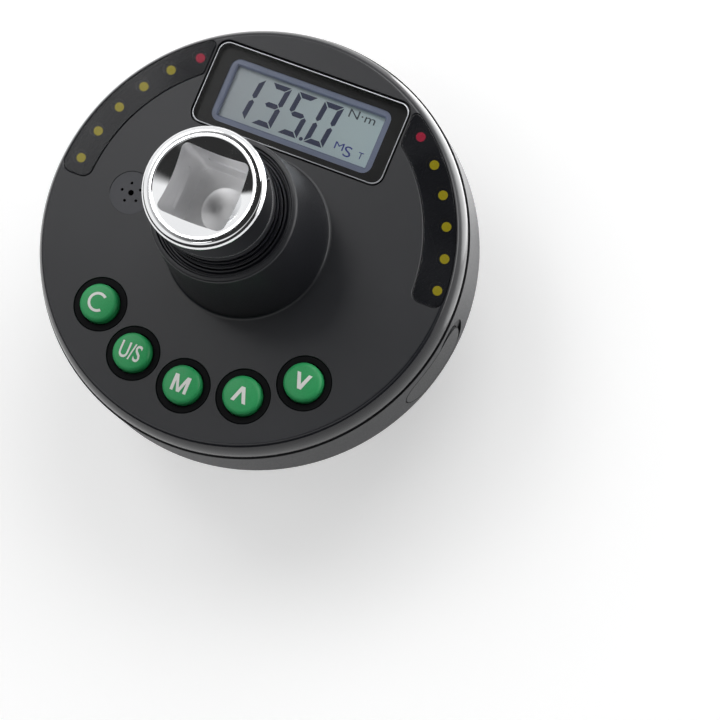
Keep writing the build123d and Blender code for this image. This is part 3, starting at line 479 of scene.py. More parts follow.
CASE = MouldedPlastic("charcoal_abs")
CASE_EDGE = MouldedPlastic("charcoal_abs_glossy_edge", smooth=0.15, rough=0.21, grain_depth=0.003)
CASE_PAD = MouldedPlastic(
    "charcoal_abs_lighter_pad", dark="#303136", light="#36373c", smooth=0.4, rough=0.5
)
COVER = MouldedPlastic("charcoal_abs_cover", dark="#18191c", light="#1e1f22", smooth=0.4, rough=0.5)
FRAME_PLASTIC = MouldedPlastic(
    "blue_grey_abs", dark="#7b859f", light="#838da8", smooth=0.3, rough=0.4, grain_size=0.5
)
NYLON = MouldedPlastic("black_nylon", dark="#121315", light="#18191b", smooth=0.3, rough=0.45)
BASE = MouldedPlastic("charcoal_abs_base", smooth=0.48, rough=0.58)
BUZZER_CASE = MouldedPlastic("sounder_case", dark="#101113", light="#161719", smooth=0.35, rough=0.5)
SEAL = Rubber("nitrile_rubber", dark="#15161b", light="#1a1b21", smooth=0.3, rough=0.42)
KEY_RING = Rubber("black_silicone", dark="#050608", light="#08090b", smooth=0.6, rough=0.75, shine=0.15)
KEY_CAP = Rubber("green_silicone", dark="#239152", light="#2a9b5b", smooth=0.38, rough=0.5, grain_depth=0.004)
FLAP = Rubber("port_rubber_moulded", dark="#18191c", light="#1f2023", smooth=0.4, rough=0.55)
ZEBRA = Rubber("carbon_striped_silicone", dark="#5b3b3b", light="#a87c7c", grain_size=0.4)
CHROME = Metal(
    "polished_chrome", dark="#e6e7e9", light="#f2f3f4", smooth=0.03, rough=0.07,
    grain_size=0.8, tone_size=9.6, grain_depth=0.0002, stretch=(1.0, 1.0, 6.0),
)
SATIN = Metal(
    "unpolished_chrome", dark="#ebebec", light="#f5f5f6", smooth=0.34, rough=0.44,
    grain_size=0.5, tone_size=6.0, grain_depth=0.004,
)
BALL_STEEL = Metal("ground_ball_steel", dark="#b0b1b4", light="#c4c5c8", smooth=0.08, rough=0.14)
WIRE = Metal("drawn_spring_wire", dark="#8b8c8e", light="#a3a4a6", smooth=0.2, rough=0.35, stretch=(1, 1, 4))
RING_STEEL = Metal("oiled_spring_steel", dark="#5a5b5d", light="#77787a", smooth=0.25, rough=0.4)
ZINC = Metal(
    "zinc_plate", dark="#9a9c9e", light="#b4b7ba", smooth=0.25, rough=0.42,
    grain_size=0.6, tone_size=7.2,
)
BRONZE = Metal(
    "sintered_bronze", dark="#8a6236", light="#b08550", smooth=0.4, rough=0.6,
    grain_size=0.25, tone_size=3.0,
)
NICKEL = Metal("nickel_plate", dark="#c2bfb6", light="#d3d0c7", smooth=0.12, rough=0.24)
CELL = Metal(
    "printed_cell_wrap", dark="#3a3b3e", light="#4a4b4f", grain_size=2.0, tone_size=24.0,
)
SILVER_CHAMFER = Metal(
    "silver_lens_chamfer", dark="#a9abaf", light="#bcbec2", smooth=0.4, rough=0.5,
    grain_size=1.2, tone_size=14.4,
)
LENS_CLEAR = ClearAcrylic("clear_acrylic")
LENS_PRINT = Print("black_back_print", dark="#060708", light="#0a0b0c", smooth=0.6, rough=0.7)
WINDOW = SmokedPlastic("smoked_polycarbonate")
YELLOW_LAMP = LampEpoxy("yellow_lamp_epoxy", dark="#beae00", light="#e6d400", glow=2.1)
RED_LAMP = LampEpoxy("red_lamp_epoxy", dark="#c01036", light="#ec2250", glow=2.3)
# Dark copy of the lamp epoxy without glow: painted shade on the lamps' bodies below their domes.
LAMP_PAINTED_SHADE = LampEpoxy("lamp_epoxy_painted_shade", dark="#1a1a10", light="#26251a", glow=0.0)
GLASS = DisplayGlass("display_glass_polariser")
SEGMENT = Print("display_segment", dark="#0c1b45", light="#132350", smooth=0.3, rough=0.4)
UNIT_INK = Print("display_unit_mark", dark="#2c3b47", light="#364653", smooth=0.3, rough=0.4)
MARK_INK = Print("display_mode_mark", dark="#22318a", light="#2b3c9a", smooth=0.3, rough=0.4)
LEGEND = Print("white_legend", dark="#d6d7d4", light="#e2e2de")
BOARD = MouldedPlastic(
    "solder_masked_board", dark="#0f4a26", light="#14592f", smooth=0.2, rough=0.32, grain_size=1.2
)
POLYIMIDE = MouldedPlastic(
    "polyimide_foil", dark="#a2601a", light="#c07c28", smooth=0.2, rough=0.35, grain_size=0.8
)


def pick_only(*pieces: Piece) -> None:
    """Select these pieces alone and make the first one active."""
    for other in bpy.context.view_layer.objects:
        other.select_set(False)
    for piece in pieces:
        piece.select_set(True)
    bpy.context.view_layer.objects.active = pieces[0]


@contextmanager
def editing(piece: Piece) -> Iterator[None]:
    """Edit mode on one piece, with all of its mesh selected at the start.

    Args:
        piece: the piece to edit.

    Returns:
        A context without a value. Edit mode ends with it.
    """
    pick_only(piece)
    bpy.ops.object.mode_set(mode="EDIT")
    bpy.ops.mesh.select_mode(type="VERT")
    bpy.ops.mesh.select_all(action="SELECT")
    try:
        yield
    finally:
        bpy.ops.object.mode_set(mode="OBJECT")


def raise_by(way: Sequence[float]) -> None:
    """Extrude what is selected in edit mode."""
    bpy.ops.mesh.extrude_region_move(TRANSFORM_OT_translate={"value": way})


def choose_faces(piece: Piece, wanted: Callable[[bmesh.types.BMFace], bool]) -> int:
    """Select faces in edit mode by place or normal.

    Args:
        piece: the piece that is being edited.
        wanted: tells whether a face is selected.

    Returns:
        How many faces are selected.
    """
    bpy.ops.mesh.select_mode(type="FACE")
    bpy.ops.mesh.select_all(action="DESELECT")
    mesh = bmesh.from_edit_mesh(piece.data)
    count = 0
    for face in mesh.faces:
        if wanted(face):
            face.select_set(True)
            count += 1
    bmesh.update_edit_mesh(piece.data)
    return count


def rounded(corners: Sequence[Corner], steps: int = ARC_STEPS) -> list[Point]:
    """Outline whose corners are rounded.

    Args:
        corners: x, y and an optional radius, in order round the outline.
        steps: straight runs in each round corner.

    Returns:
        The outline's points.
    """
    points: list[Point] = []
    for index, corner in enumerate(corners):
        here = Vector(corner[:2])
        if len(corner) < 3:
            points.append((here.x, here.y))
            continue
        before = (Vector(corners[index - 1][:2]) - here).normalized()
        after = (Vector(corners[(index + 1) % len(corners)][:2]) - here).normalized()
        half = before.angle(after) / 2
        centre = here + (before + after).normalized() * corner[2] / math.sin(half)
        reach = corner[2] / math.tan(half)
        first, last = here + before * reach - centre, here + after * reach - centre
        points += swept(centre, corner[2], math.atan2(first.y, first.x), math.atan2(last.y, last.x), steps)
    return points


def swept(centre: Sequence[float], radius: float, start: float, end: float, steps: int) -> list[Point]:
    """Points along the shorter arc between two angles in radians.

    Args:
        centre: centre of the arc.
        radius: its radius.
        start: first angle.
        end: last angle.
        steps: number of chords.

    Returns:
        The points, with both ends.
    """
    turn = (end - start + math.pi) % math.tau - math.pi
    angles = [start + turn * step / steps for step in range(steps + 1)]
    return [(centre[0] + radius * math.cos(a), centre[1] + radius * math.sin(a)) for a in angles]


def bowed(start: Point, end: Point, rise: float, steps: int = ARC_STEPS) -> list[Point]:
    """Points inside a shallow curve that rises to the left of the way from start to end.

    Args:
        start: where the curve starts.
        end: where it ends.
        rise: height of the bow over the straight way.
        steps: number of chords.

    Returns:
        The points between the two ends, without them.
    """
    way = Vector(end) - Vector(start)
    side = Vector((-way.y, way.x)).normalized() * rise
    shares = [step / steps for step in range(1, steps)]
    points = [Vector(start) + way * share + side * 4 * share * (1 - share) for share in shares]
    return [(point.x, point.y) for point in points]


def rectangle(width: float, length: float, radius: float = 0.0, centre: Point = (0.0, 0.0)) -> list[Point]:
    """Outline of a rectangle with round corners, about a centre.

    Args:
        width: size along X.
        length: size along Y.
        radius: radius of its corners.
        centre: where its middle lies.

    Returns:
        The outline, counterclockwise.
    """
    signs = ((-1, -1), (1, -1), (1, 1), (-1, 1))
    corners = [(centre[0] + sx * width / 2, centre[1] + sy * length / 2) for sx, sy in signs]
    return rounded([(*corner, radius) for corner in corners]) if radius else corners


def circle(radius: float, centre: Point = (0.0, 0.0), steps: int = FINE_STEPS) -> list[Point]:
    """Outline of a circle."""
    angles = [math.tau * step / steps for step in range(steps)]
    return [(centre[0] + radius * math.cos(a), centre[1] + radius * math.sin(a)) for a in angles]


def trace(name: str, outline: Sequence[Point], plane: Plane, height: float = 0.0) -> Piece:
    """Draw an outline by extruding a vertex from point to point.

    Args:
        name: name of the new piece.
        outline: points of the outline, which stays open.
        plane: plane that the outline lies in.
        height: height of an outline in plan.

    Returns:
        A piece with the outline's vertices and edges.
    """
    if plane is Plane.SIDE:
        places = [Vector((x, 0, y)) for x, y in outline]
    else:
        places = [Vector((x, y, height)) for x, y in outline]
    bpy.ops.mesh.primitive_plane_add(size=1)
    piece = bpy.context.object
    piece.name = name
    with editing(piece):
        bpy.ops.mesh.merge(type="CENTER")
        bpy.ops.transform.translate(value=places[0])
        for here, there in zip(places, places[1:]):
            raise_by(there - here)
    return piece


def tidy_skin(piece: Piece) -> None:
    """Weld doubled vertices, drop loose ones and turn the faces outwards.

    Args:
        piece: the piece, which is changed.
    """
    with editing(piece):
        bpy.ops.mesh.remove_doubles(threshold=WELD)
        bpy.ops.mesh.delete_loose()
        bpy.ops.mesh.select_all(action="SELECT")
        bpy.ops.mesh.normals_make_consistent(inside=False)


def spun(name: str, outline: Sequence[Point], steps: int = TURN_STEPS) -> Piece:
    """Turn an outline about the Z axis.

    Args:
        name: name of the new piece.
        outline: radius and height of each point. An outline that starts and ends
            on the axis makes a solid body, and any other is closed to a ring.
        steps: how many steps make a full turn.

    Returns:
        The turned piece.
    """
    on_axis = abs(outline[0][0]) < WELD and abs(outline[-1][0]) < WELD
    piece = trace(name, outline, Plane.SIDE)
    if not on_axis:
        with editing(piece):
            ends = {0, len(outline) - 1}
            bpy.ops.mesh.select_mode(type="VERT")
            bpy.ops.mesh.select_all(action="DESELECT")
            mesh = bmesh.from_edit_mesh(piece.data)
            for vertex in mesh.verts:
                vertex.select_set(vertex.index in ends)
            bmesh.update_edit_mesh(piece.data)
            bpy.ops.mesh.edge_face_add()
    with editing(piece):
        bpy.ops.mesh.spin(steps=steps, angle=math.tau, center=(0, 0, 0), axis=(0, 0, 1))
    tidy_skin(piece)
    return piece


def prism(name: str, outline: Sequence[Point], low: float, high: float) -> Piece:
    """Raise an outline in plan to a solid between two heights.

    Args:
        name: name of the new piece.
        outline: outline in plan, counterclockwise.
        low: height of its underside.
        high: height of its top.

    Returns:
        The solid.
    """
    piece = trace(name, outline, Plane.PLAN, low)
    with editing(piece):
        bpy.ops.mesh.edge_face_add()
        raise_by((0, 0, high - low))
    tidy_skin(piece)
    return piece


def pocket(name: str, outline: Sequence[Point], floor: float, mouth: float, ease: float) -> Piece:
    """Cutter for a pocket that is open at its mouth.

    Args:
        name: name of the cutter.
        outline: the pocket's outline at its mouth.
        floor: height of the pocket's floor.
        mouth: height of the surface that the pocket opens in.
        ease: width of the eased edge at the mouth.

    Returns:
        The cutter.
    """
    tool = prism(name, outline, mouth, mouth + 1)
    with editing(tool):
        choose_faces(tool, lambda face: face.normal.z < -LEVEL)
        bpy.ops.mesh.inset(thickness=ease, depth=ease)
        raise_by((0, 0, floor - mouth + ease))
    tidy_skin(tool)
    return tool


def block(name: str, low: Sequence[float], high: Sequence[float]) -> Piece:
    """Plain block between two corners, to be shaped or cut with.

    Args:
        name: name of the new piece.
        low: its lowest corner.
        high: its highest corner.

    Returns:
        The block.
    """
    middle = [(a + b) / 2 for a, b in zip(low, high)]
    bpy.ops.mesh.primitive_cube_add(size=1)
    piece = bpy.context.object
    piece.name = name
    with editing(piece):
        bpy.ops.transform.resize(value=[b - a for a, b in zip(low, high)])
        bpy.ops.transform.translate(value=middle)
    return piece


def moved(piece: Piece, way: Sequence[float]) -> Piece:
    """Move a piece within its mesh.

    Args:
        piece: the piece, which is changed.
        way: how far along X, Y and Z.

    Returns:
        The same piece.
    """
    with editing(piece):
        bpy.ops.transform.translate(value=way)
    return piece


def turned_by(piece: Piece, degrees: float, axis: str = "Z", centre: Sequence[float] = (0, 0, 0)) -> Piece:
    """Turn a piece within its mesh, counterclockwise about an axis that looks at the eye.

    Args:
        piece: the piece, which is changed.
        degrees: angle of the turn.
        axis: letter of the axis.
        centre: point that the axis goes through.

    Returns:
        The same piece.
    """
    with editing(piece):
        bpy.ops.transform.rotate(value=-math.radians(degrees), orient_axis=axis, center_override=centre)
    return piece


def twin(piece: Piece, name: str) -> Piece:
    """Copy of a piece with its own mesh.

    Args:
        piece: the piece to copy.
        name: name of the copy.

    Returns:
        The copy.
    """
    other = piece.copy()
    other.data = piece.data.copy()
    other.name = name
    bpy.context.scene.collection.objects.link(other)
    return other


def together(name: str, pieces: Sequence[Piece]) -> Piece:
    """Join pieces that don't meet into one.

    Args:
        name: name of the joined piece.
        pieces: the pieces, which become one.

    Returns:
        The joined piece.
    """
    pick_only(*pieces)
    if len(pieces) > 1:
        bpy.ops.object.join()
    pieces[0].name = name
    return pieces[0]


def carve(piece: Piece, tool: Piece, how: Carve = Carve.AWAY) -> Piece:
    """Cut a piece with a tool, or join the tool to it, and put the tool away.

    Args:
        piece: the piece, which is changed.
        tool: the shape to work with, which is used up.
        how: whether to cut, join or keep what they share.

    Returns:
        The same piece.
    """
    pick_only(piece)
    cut = piece.modifiers.new("cut", "BOOLEAN")
    cut.operation = how.value
    cut.solver = "EXACT"
    cut.object = tool
    bpy.ops.object.modifier_apply(modifier=cut.name)
    bpy.data.objects.remove(tool)
    return piece


def ease_edges(piece: Piece, width: float, steps: int = 2, above: float = 40.0) -> Piece:
    """Round every edge that is sharper than an angle in degrees.

    Args:
        piece: the piece, which is changed.
        width: width of the rounding.
        steps: number of facets over it.
        above: angle between faces from which an edge is rounded.

    Returns:
        The same piece.
    """
    pick_only(piece)
    bevel = piece.modifiers.new("ease", "BEVEL")
    bevel.width = width
    bevel.segments = steps
    bevel.limit_method = "ANGLE"
    bevel.angle_limit = math.radians(above)
    bevel.use_clamp_overlap = True
    bpy.ops.object.modifier_apply(modifier=bevel.name)
    return piece


def settle(piece: Piece, finish: Finish, body: str, nodes: Sequence[str] = ()) -> Piece:
    """Bring a finished piece into the frame.

    Args:
        piece: the piece, modelled in millimetres.
        finish: what its surface is made of.
        body: the moving body that it rides on.
        nodes: the construction nodes that it stands for.

    Returns:
        The piece, in metres, with smooth shading and its material.
    """
    tidy_skin(piece)
    pick_only(piece)
    bpy.ops.object.shade_smooth_by_angle(angle=SHARP_ANGLE)
    weigh = piece.modifiers.new("weigh", "WEIGHTED_NORMAL")
    weigh.keep_sharp = True
    bpy.ops.object.modifier_apply(modifier=weigh.name)
    piece.scale = (MM, MM, MM)
    bpy.ops.object.transform_apply(location=True, rotation=True, scale=True)
    piece.data.materials.clear()
    piece.data.materials.append(finish.material())
    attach(piece, body)
    if nodes:
        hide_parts(*nodes)
    log.info("%s: %d faces on %s", piece.name, len(piece.data.polygons), body)
    return piece


def paint(piece: Piece, finish: Finish, wanted: Callable[[Vector, Vector], bool]) -> int:
    """Give some faces of a settled piece another finish.

    Args:
        piece: the piece, in metres.
        finish: the other finish.
        wanted: tells from a face's middle in millimetres and its normal.

    Returns:
        How many faces took the finish.
    """
    piece.data.materials.append(finish.material())
    place = len(piece.data.materials) - 1
    count = 0
    for face in piece.data.polygons:
        if wanted(face.center / MM, face.normal):
            face.material_index = place
            count += 1
    return count


@dataclass
class DriveShaft:
    """Chromed shaft: head with the female square, hidden gauged section, male square with a ball."""

    head_r: float = 11.0
    head_edge: float = 1.2
    head_start: float = 56.5
    mouth_r: float = 8.95
    mouth_angle: float = 56.0
    mouth_edge: float = 0.5
    cone_slope: float = 0.5
    socket_margin: float = 0.05
    socket_across: float = 12.75
    socket_corner: float = 1.25
    socket_depth: float = 16.5
    dimple_r: float = 4.4
    dimple_depth: float = 1.0
    dimple_steps: int = 12
    ball_steps: int = 24
    sharp: float = 30.0
    groove_r: float = 2.6
    groove_depth: float = 0.28
    groove_below_rim: float = 9.0
    necked_r: float = 7.0
    necked_low: float = 33.26
    necked_high: float = 50.26
    necked_fillet: float = 1.5
    flange_low: float = 30.26
    drive_across: float = 12.65
    drive_corner: float = 1.2
    tip_r: float = 5.8
    tip_angle: float = 30.0
    journal_low: float = 17.7
    journal_margin: float = 0.55
    flange: float = 2.8
    ball_r: float = 2.4
    ball_proud: float = 0.8
    ball_height: float = 8.0
    ball_hole_r: float = 2.45
    ball_hole_depth: float = 8.0
    edge: float = 0.08

    def journal_r(self) -> float:
        """Radius of the round journal that clears the square's corners."""
        corner = self.drive_across / math.sqrt(2) - self.drive_corner * (math.sqrt(2) - 1)
        return corner + self.journal_margin

    def turned_body(self) -> Piece:
        """Head, necked section, flange and journal as one turned body.

        Returns:
            The body, without its squares.
        """
        journal = self.journal_r()
        flange = journal + self.flange
        rim = LEVELS.rim
        cone = self.mouth_r / math.tan(math.radians(self.mouth_angle))
        outline = rounded([
            (0, self.journal_low), (journal, self.journal_low), (journal, self.flange_low),
            (flange, self.flange_low), (flange, self.necked_low),
            (self.necked_r, self.necked_low, self.necked_fillet),
            (self.necked_r, self.necked_high, self.necked_fillet),
            (self.head_r, self.head_start), (self.head_r, rim, self.head_edge),
            (self.mouth_r, rim, self.mouth_edge), (0, rim - cone),
        ])
        return spun("drive_shaft_body", outline, 2 * TURN_STEPS)

    def cut_socket(self, body: Piece) -> None:
        """Broach the square, its floor dimple and the grooves in its walls.

        Args:
            body: the body to cut, which is changed.
        """
        floor = LEVELS.rim - self.socket_depth
        outline = rectangle(self.socket_across, self.socket_across, self.socket_corner)
        carve(body, prism("broach", outline, floor, LEVELS.rim + OVER))
        ball = (self.dimple_r**2 + self.dimple_depth**2) / (2 * self.dimple_depth)
        reach = math.asin(self.dimple_r / ball)
        centre = (0, floor - self.dimple_depth + ball)
        down = -math.pi / 2
        bowl = swept(centre, ball, down, down + reach, self.dimple_steps)
        bowl[0] = (0.0, floor - self.dimple_depth)
        bowl += [(self.dimple_r, floor + OVER), (0, floor + OVER)]
        carve(body, spun("dimple_tool", bowl, FINE_STEPS))
        inset = self.socket_across / 2 + self.groove_depth - self.groove_r
        half = self.socket_across / 2 - 2 * self.socket_corner
        for quarter in range(4):
            bar = prism("groove_tool", circle(self.groove_r, steps=TOOL_STEPS), -half, half)
            turned_by(bar, 90, "X")
            moved(bar, (inset, 0, LEVELS.rim - self.groove_below_rim))
            turned_by(bar, 90 * quarter)
            carve(body, bar)

    def male_square(self) -> Piece:
        """Square drive with a turned chamfer on its tip and a hole for the ball.

        Returns:
            The square, with some of its length inside the journal.
        """
        square = prism(
            "drive_square", rectangle(self.drive_across, self.drive_across, self.drive_corner),
            0, self.journal_low + OVER,
        )
        reach = self.drive_across
        rise = (reach - self.tip_r) * math.tan(math.radians(self.tip_angle))
        high = self.journal_low + 2 * OVER
        outline = [(0, 0), (self.tip_r, 0), (reach, rise), (reach, high), (0, high)]
        carve(square, spun("tip_tool", outline), Carve.KEEP)
        hole = prism("ball_hole", circle(self.ball_hole_r), 0, self.ball_hole_depth + OVER)
        turned_by(hole, 90, "X")
        moved(hole, (0, self.drive_across / 2 + OVER, self.ball_height))
        return carve(square, hole)

    def in_socket(self, middle: Vector, normal: Vector) -> bool:
        """Whether a face lies in the broached square, where the polish doesn't reach.

        Args:
            middle: middle of the face, in millimetres.
            normal: the face's outward direction.

        Returns:
            True for a face of the broached square.
        """
        reach = self.socket_across / 2 + self.groove_depth + self.socket_margin
        low = LEVELS.rim - self.socket_depth - 2 * self.dimple_depth
        inside = max(abs(middle.x), abs(middle.y)) < reach and middle.z > low
        on_cone = normal.z > self.cone_slope and middle.z > LEVELS.rim - self.groove_below_rim
        return inside and not on_cone

    def build(self) -> None:
        """Make the shaft and its detent ball."""
        body = self.turned_body()
        self.cut_socket(body)
        carve(body, self.male_square(), Carve.JOIN)
        ease_edges(body, self.edge, above=self.sharp)
        body.name = "chromed_drive_shaft"
        settle(body, CHROME, HOUSING, ["drive_shaft"])
        paint(body, SATIN, self.in_socket)
        angles = [-math.pi / 2 + math.pi * k / self.ball_steps for k in range(self.ball_steps + 1)]
        half = [(self.ball_r * math.cos(a), self.ball_r * math.sin(a)) for a in angles]
        half[0], half[-1] = (0.0, -self.ball_r), (0.0, self.ball_r)
        ball = spun("retaining_ball", half, FINE_STEPS)
        moved(ball, (0, self.drive_across / 2 + self.ball_proud - self.ball_r, self.ball_height))
        settle(ball, BALL_STEEL, "ball", ["detent_ball"])


@dataclass
class Display:
    """Lens with its printed border, frame, display glass and what the glass shows."""

    lens_width: float = 39.1
    lens_length: float = 16.4
    lens_y: float = 25.4
    lens_corner: float = 2.0
    lens_low: float = 41.4
    lens_high: float = 42.9
    lens_edge: float = 0.17
    lens_edge_drop: float = 0.08
    lens_gap: float = 0.38
    view_width: float = 33.0
    view_length: float = 12.7
    view_y: float = 25.15
    view_corner: float = 1.8
    ledge: float = 1.1
    fit: float = 0.15
    print_depth: float = 0.05
    film: float = 0.01
    side_slope: float = 0.2
    glass_width: float = 30.6
    glass_length: float = 10.3
    glass_sink: float = 0.95
    glass_thickness: float = 1.1
    glass_lap: float = 0.7
    glass_edge: float = 0.1
    mouth_margin: float = 0.25
    board_top: float = 37.0
    digit_pitch: float = 5.42
    digit_width: float = 4.0
    digit_height: float = 8.7
    digit_left: float = -14.3
    digit_low: float = 20.95
    stroke: float = 1.0
    stroke_gap: float = 0.14
    slant: float = 0.115
    ink: float = 0.03
    shown: tuple[str, ...] = ("bc", "abcdg", "acdfg", "abcdef")
    point_r: float = 0.38
    point_left: float = 0.55
    point_rise: float = 0.3
    unit_box: Box = (8.15, 28.3, 13.5, 29.95)
    marks: tuple[tuple[str, Box], ...] = (
        ("M", (7.95, 21.75, 9.75, 23.15)),
        ("S", (10.0, 20.9, 11.5, 23.0)),
        ("T", (12.85, 21.4, 13.85, 22.7)),
    )

    def frame_top(self) -> float:
        """Height of the frame's top, just under the lens."""
        return self.lens_low - self.fit

    def glass_top(self) -> float:
        """Height of the display glass's face."""
        return self.frame_top() - self.glass_sink - self.fit

    def lens_outline(self, grow: float) -> list[Point]:
        """Outline of the lens, grown by a margin."""
        width, length = self.lens_width + 2 * grow, self.lens_length + 2 * grow
        return rectangle(width, length, self.lens_corner + grow, (0, self.lens_y))

    def view_outline(self, grow: float) -> list[Point]:
        """Outline of the clear part of the lens, grown by a margin."""
        width, length = self.view_width + 2 * grow, self.view_length + 2 * grow
        return rectangle(width, length, self.view_corner, (0, self.view_y))

    def build_lens(self) -> None:
        """Clear plate with a silver metal chamfer round its top, and the black border printed on its back."""
        clear_low = self.lens_low + self.print_depth
        shoulder = self.lens_high - self.lens_edge_drop
        lens = prism("display_window", self.lens_outline(0), clear_low, shoulder)
        with editing(lens):
            choose_faces(lens, lambda face: face.normal.z > LEVEL)
            raise_by((0, 0, self.lens_edge_drop))
            bpy.ops.transform.resize(value=(
                1 - 2 * self.lens_edge / self.lens_width, 1 - 2 * self.lens_edge / self.lens_length, 1
            ), center_override=(0, self.lens_y, 0))
        settle(lens, LENS_CLEAR, HOUSING, ["display_lens"])
        paint(lens, SILVER_CHAMFER, lambda middle, normal: self.side_slope < normal.z < FLAT)
        paint(lens, LENS_PRINT, lambda middle, normal: abs(normal.z) < self.side_slope)
        printed = self.lens_outline(-2 * self.film)
        border = prism("display_border_print", printed, self.lens_low, clear_low - self.film)
        hole = prism("view_tool", self.view_outline(0), self.lens_low - OVER, clear_low + OVER)
        carve(border, hole)
        settle(border, LENS_PRINT, HOUSING)

    def build_frame(self) -> None:
        """Frame with a sloped inner edge round the glass."""
        top = self.frame_top()
        frame_body = prism("display_frame", self.view_outline(self.ledge - self.fit), self.board_top, top)
        lead = self.mouth_margin
        across, along = self.glass_width + 2 * lead, self.glass_length + 2 * lead
        mouth = rectangle(across, along, 2 * lead, (0, self.view_y))
        carve(frame_body, pocket("glass_opening", mouth, self.board_top - OVER, top, lead))
        wide = self.glass_width + 2 * self.glass_lap
        long = self.glass_length + 2 * self.glass_lap
        seat = rectangle(wide, long, 0, (0, self.view_y))
        carve(frame_body, prism("glass_seat", seat, self.board_top - OVER, top - self.glass_sink))
        settle(frame_body, FRAME_PLASTIC, HOUSING, ["lcd_frame"])

    def build_glass(self) -> None:
        """Display glass with ground edges."""
        wide = self.glass_width + 2 * (self.glass_lap - self.fit)
        long = self.glass_length + 2 * (self.glass_lap - self.fit)
        top = self.glass_top()
        glass = prism(
            "display_glass_panel", rectangle(wide, long, 0, (0, self.view_y)),
            top - self.glass_thickness, top,
        )
        ease_edges(glass, self.glass_edge)
        settle(glass, GLASS, HOUSING, ["lcd_panel"])

    def leaned(self, points: Sequence[Point], left: float) -> list[Point]:
        """Place a segment's outline in its digit, leaning with its height."""
        return [(left + x + y * self.slant, self.digit_low + y) for x, y in points]

    def segment(self, name: str) -> list[Point]:
        """Outline of one of the seven segments, from the digit's lower left corner.

        Args:
            name: letter of the segment, from a to g.

        Returns:
            The segment's outline.
        """
        w, h, t, g = self.digit_width, self.digit_height, self.stroke, self.stroke_gap
        middle = h / 2
        bars = {
            "a": [(g, h), (w - g, h), (w - t - g, h - t), (t + g, h - t)],
            "d": [(g, 0), (t + g, t), (w - t - g, t), (w - g, 0)],
            "g": [
                (t / 2 + g, middle), (t + g, middle + t / 2), (w - t - g, middle + t / 2),
                (w - t / 2 - g, middle), (w - t - g, middle - t / 2), (t + g, middle - t / 2),
            ],
            "f": [
                (0, h - g), (t, h - t - g), (t, middle + t / 2 + g), (t / 2, middle + g), (0, middle + t / 2),
            ],
            "e": [(0, g), (0, middle - t / 2), (t / 2, middle - g), (t, middle - t / 2 - g), (t, t + g)],
        }
        mirrored = {"b": "f", "c": "e"}
        if name in mirrored:
            return [(w - x, y) for x, y in reversed(bars[mirrored[name]])]
        return bars[name]

    def build_reading(self) -> None:
        """The number on the glass, as a seven-segment display shows it, and the small marks."""
        low = self.glass_top()
        bars: list[Piece] = []
        for place, lit in enumerate(self.shown):
            left = self.digit_left + place * self.digit_pitch
            for name in lit:
                outline = self.leaned(self.segment(name), left)
                bars.append(prism("bar", outline, low, low + self.ink))
        place = (self.digit_left + 3 * self.digit_pitch - self.point_left, self.digit_low + self.point_rise)
        bars.append(prism("point", circle(self.point_r, place, TINY_STEPS), low, low + self.ink))
        settle(together("display_digits", bars), SEGMENT, HOUSING)
        unit = lettering("display_unit", "N·m", self.unit_box, low, self.ink)
        settle(unit, UNIT_INK, HOUSING)
        marks = [lettering("mark", word, box, low, self.ink) for word, box in self.marks]
        settle(together("display_marks", marks), MARK_INK, HOUSING)

    def build(self) -> None:
        """Make every piece of the display."""
        self.build_glass()
        self.build_frame()
        self.build_reading()
        self.build_lens()


def lettering(name: str, words: str, box: Box, low: float, depth: float, bold: float = 0.0) -> Piece:
    """Flat letters that fill a box.

    Args:
        name: name of the new piece.
        words: what it says.
        box: left, low, right and high limits in plan.
        low: height of the underside.
        depth: thickness of the letters.
        bold: how much each stroke is widened, as a share of the letters' size.

    Returns:
        The letters as a solid mesh.
    """
    bpy.ops.object.text_add()
    piece = bpy.context.object
    piece.name = name
    piece.data.body = words
    piece.data.offset = bold
    piece.data.resolution_u = SMALL_ARC_STEPS
    pick_only(piece)
    bpy.ops.object.convert(target="MESH")
    piece = bpy.context.object
    xs = [vertex.co.x for vertex in piece.data.vertices]
    ys = [vertex.co.y for vertex in piece.data.vertices]
    scale = ((box[2] - box[0]) / (max(xs) - min(xs)), (box[3] - box[1]) / (max(ys) - min(ys)))
    with editing(piece):
        bpy.ops.transform.translate(value=(-min(xs), -min(ys), 0))
        bpy.ops.transform.resize(value=(*scale, 1), center_override=(0, 0, 0))
        bpy.ops.transform.translate(value=(box[0], box[1], low))
        bpy.ops.mesh.remove_doubles(threshold=WELD)
        raise_by((0, 0, depth))
    tidy_skin(piece)
    return piece


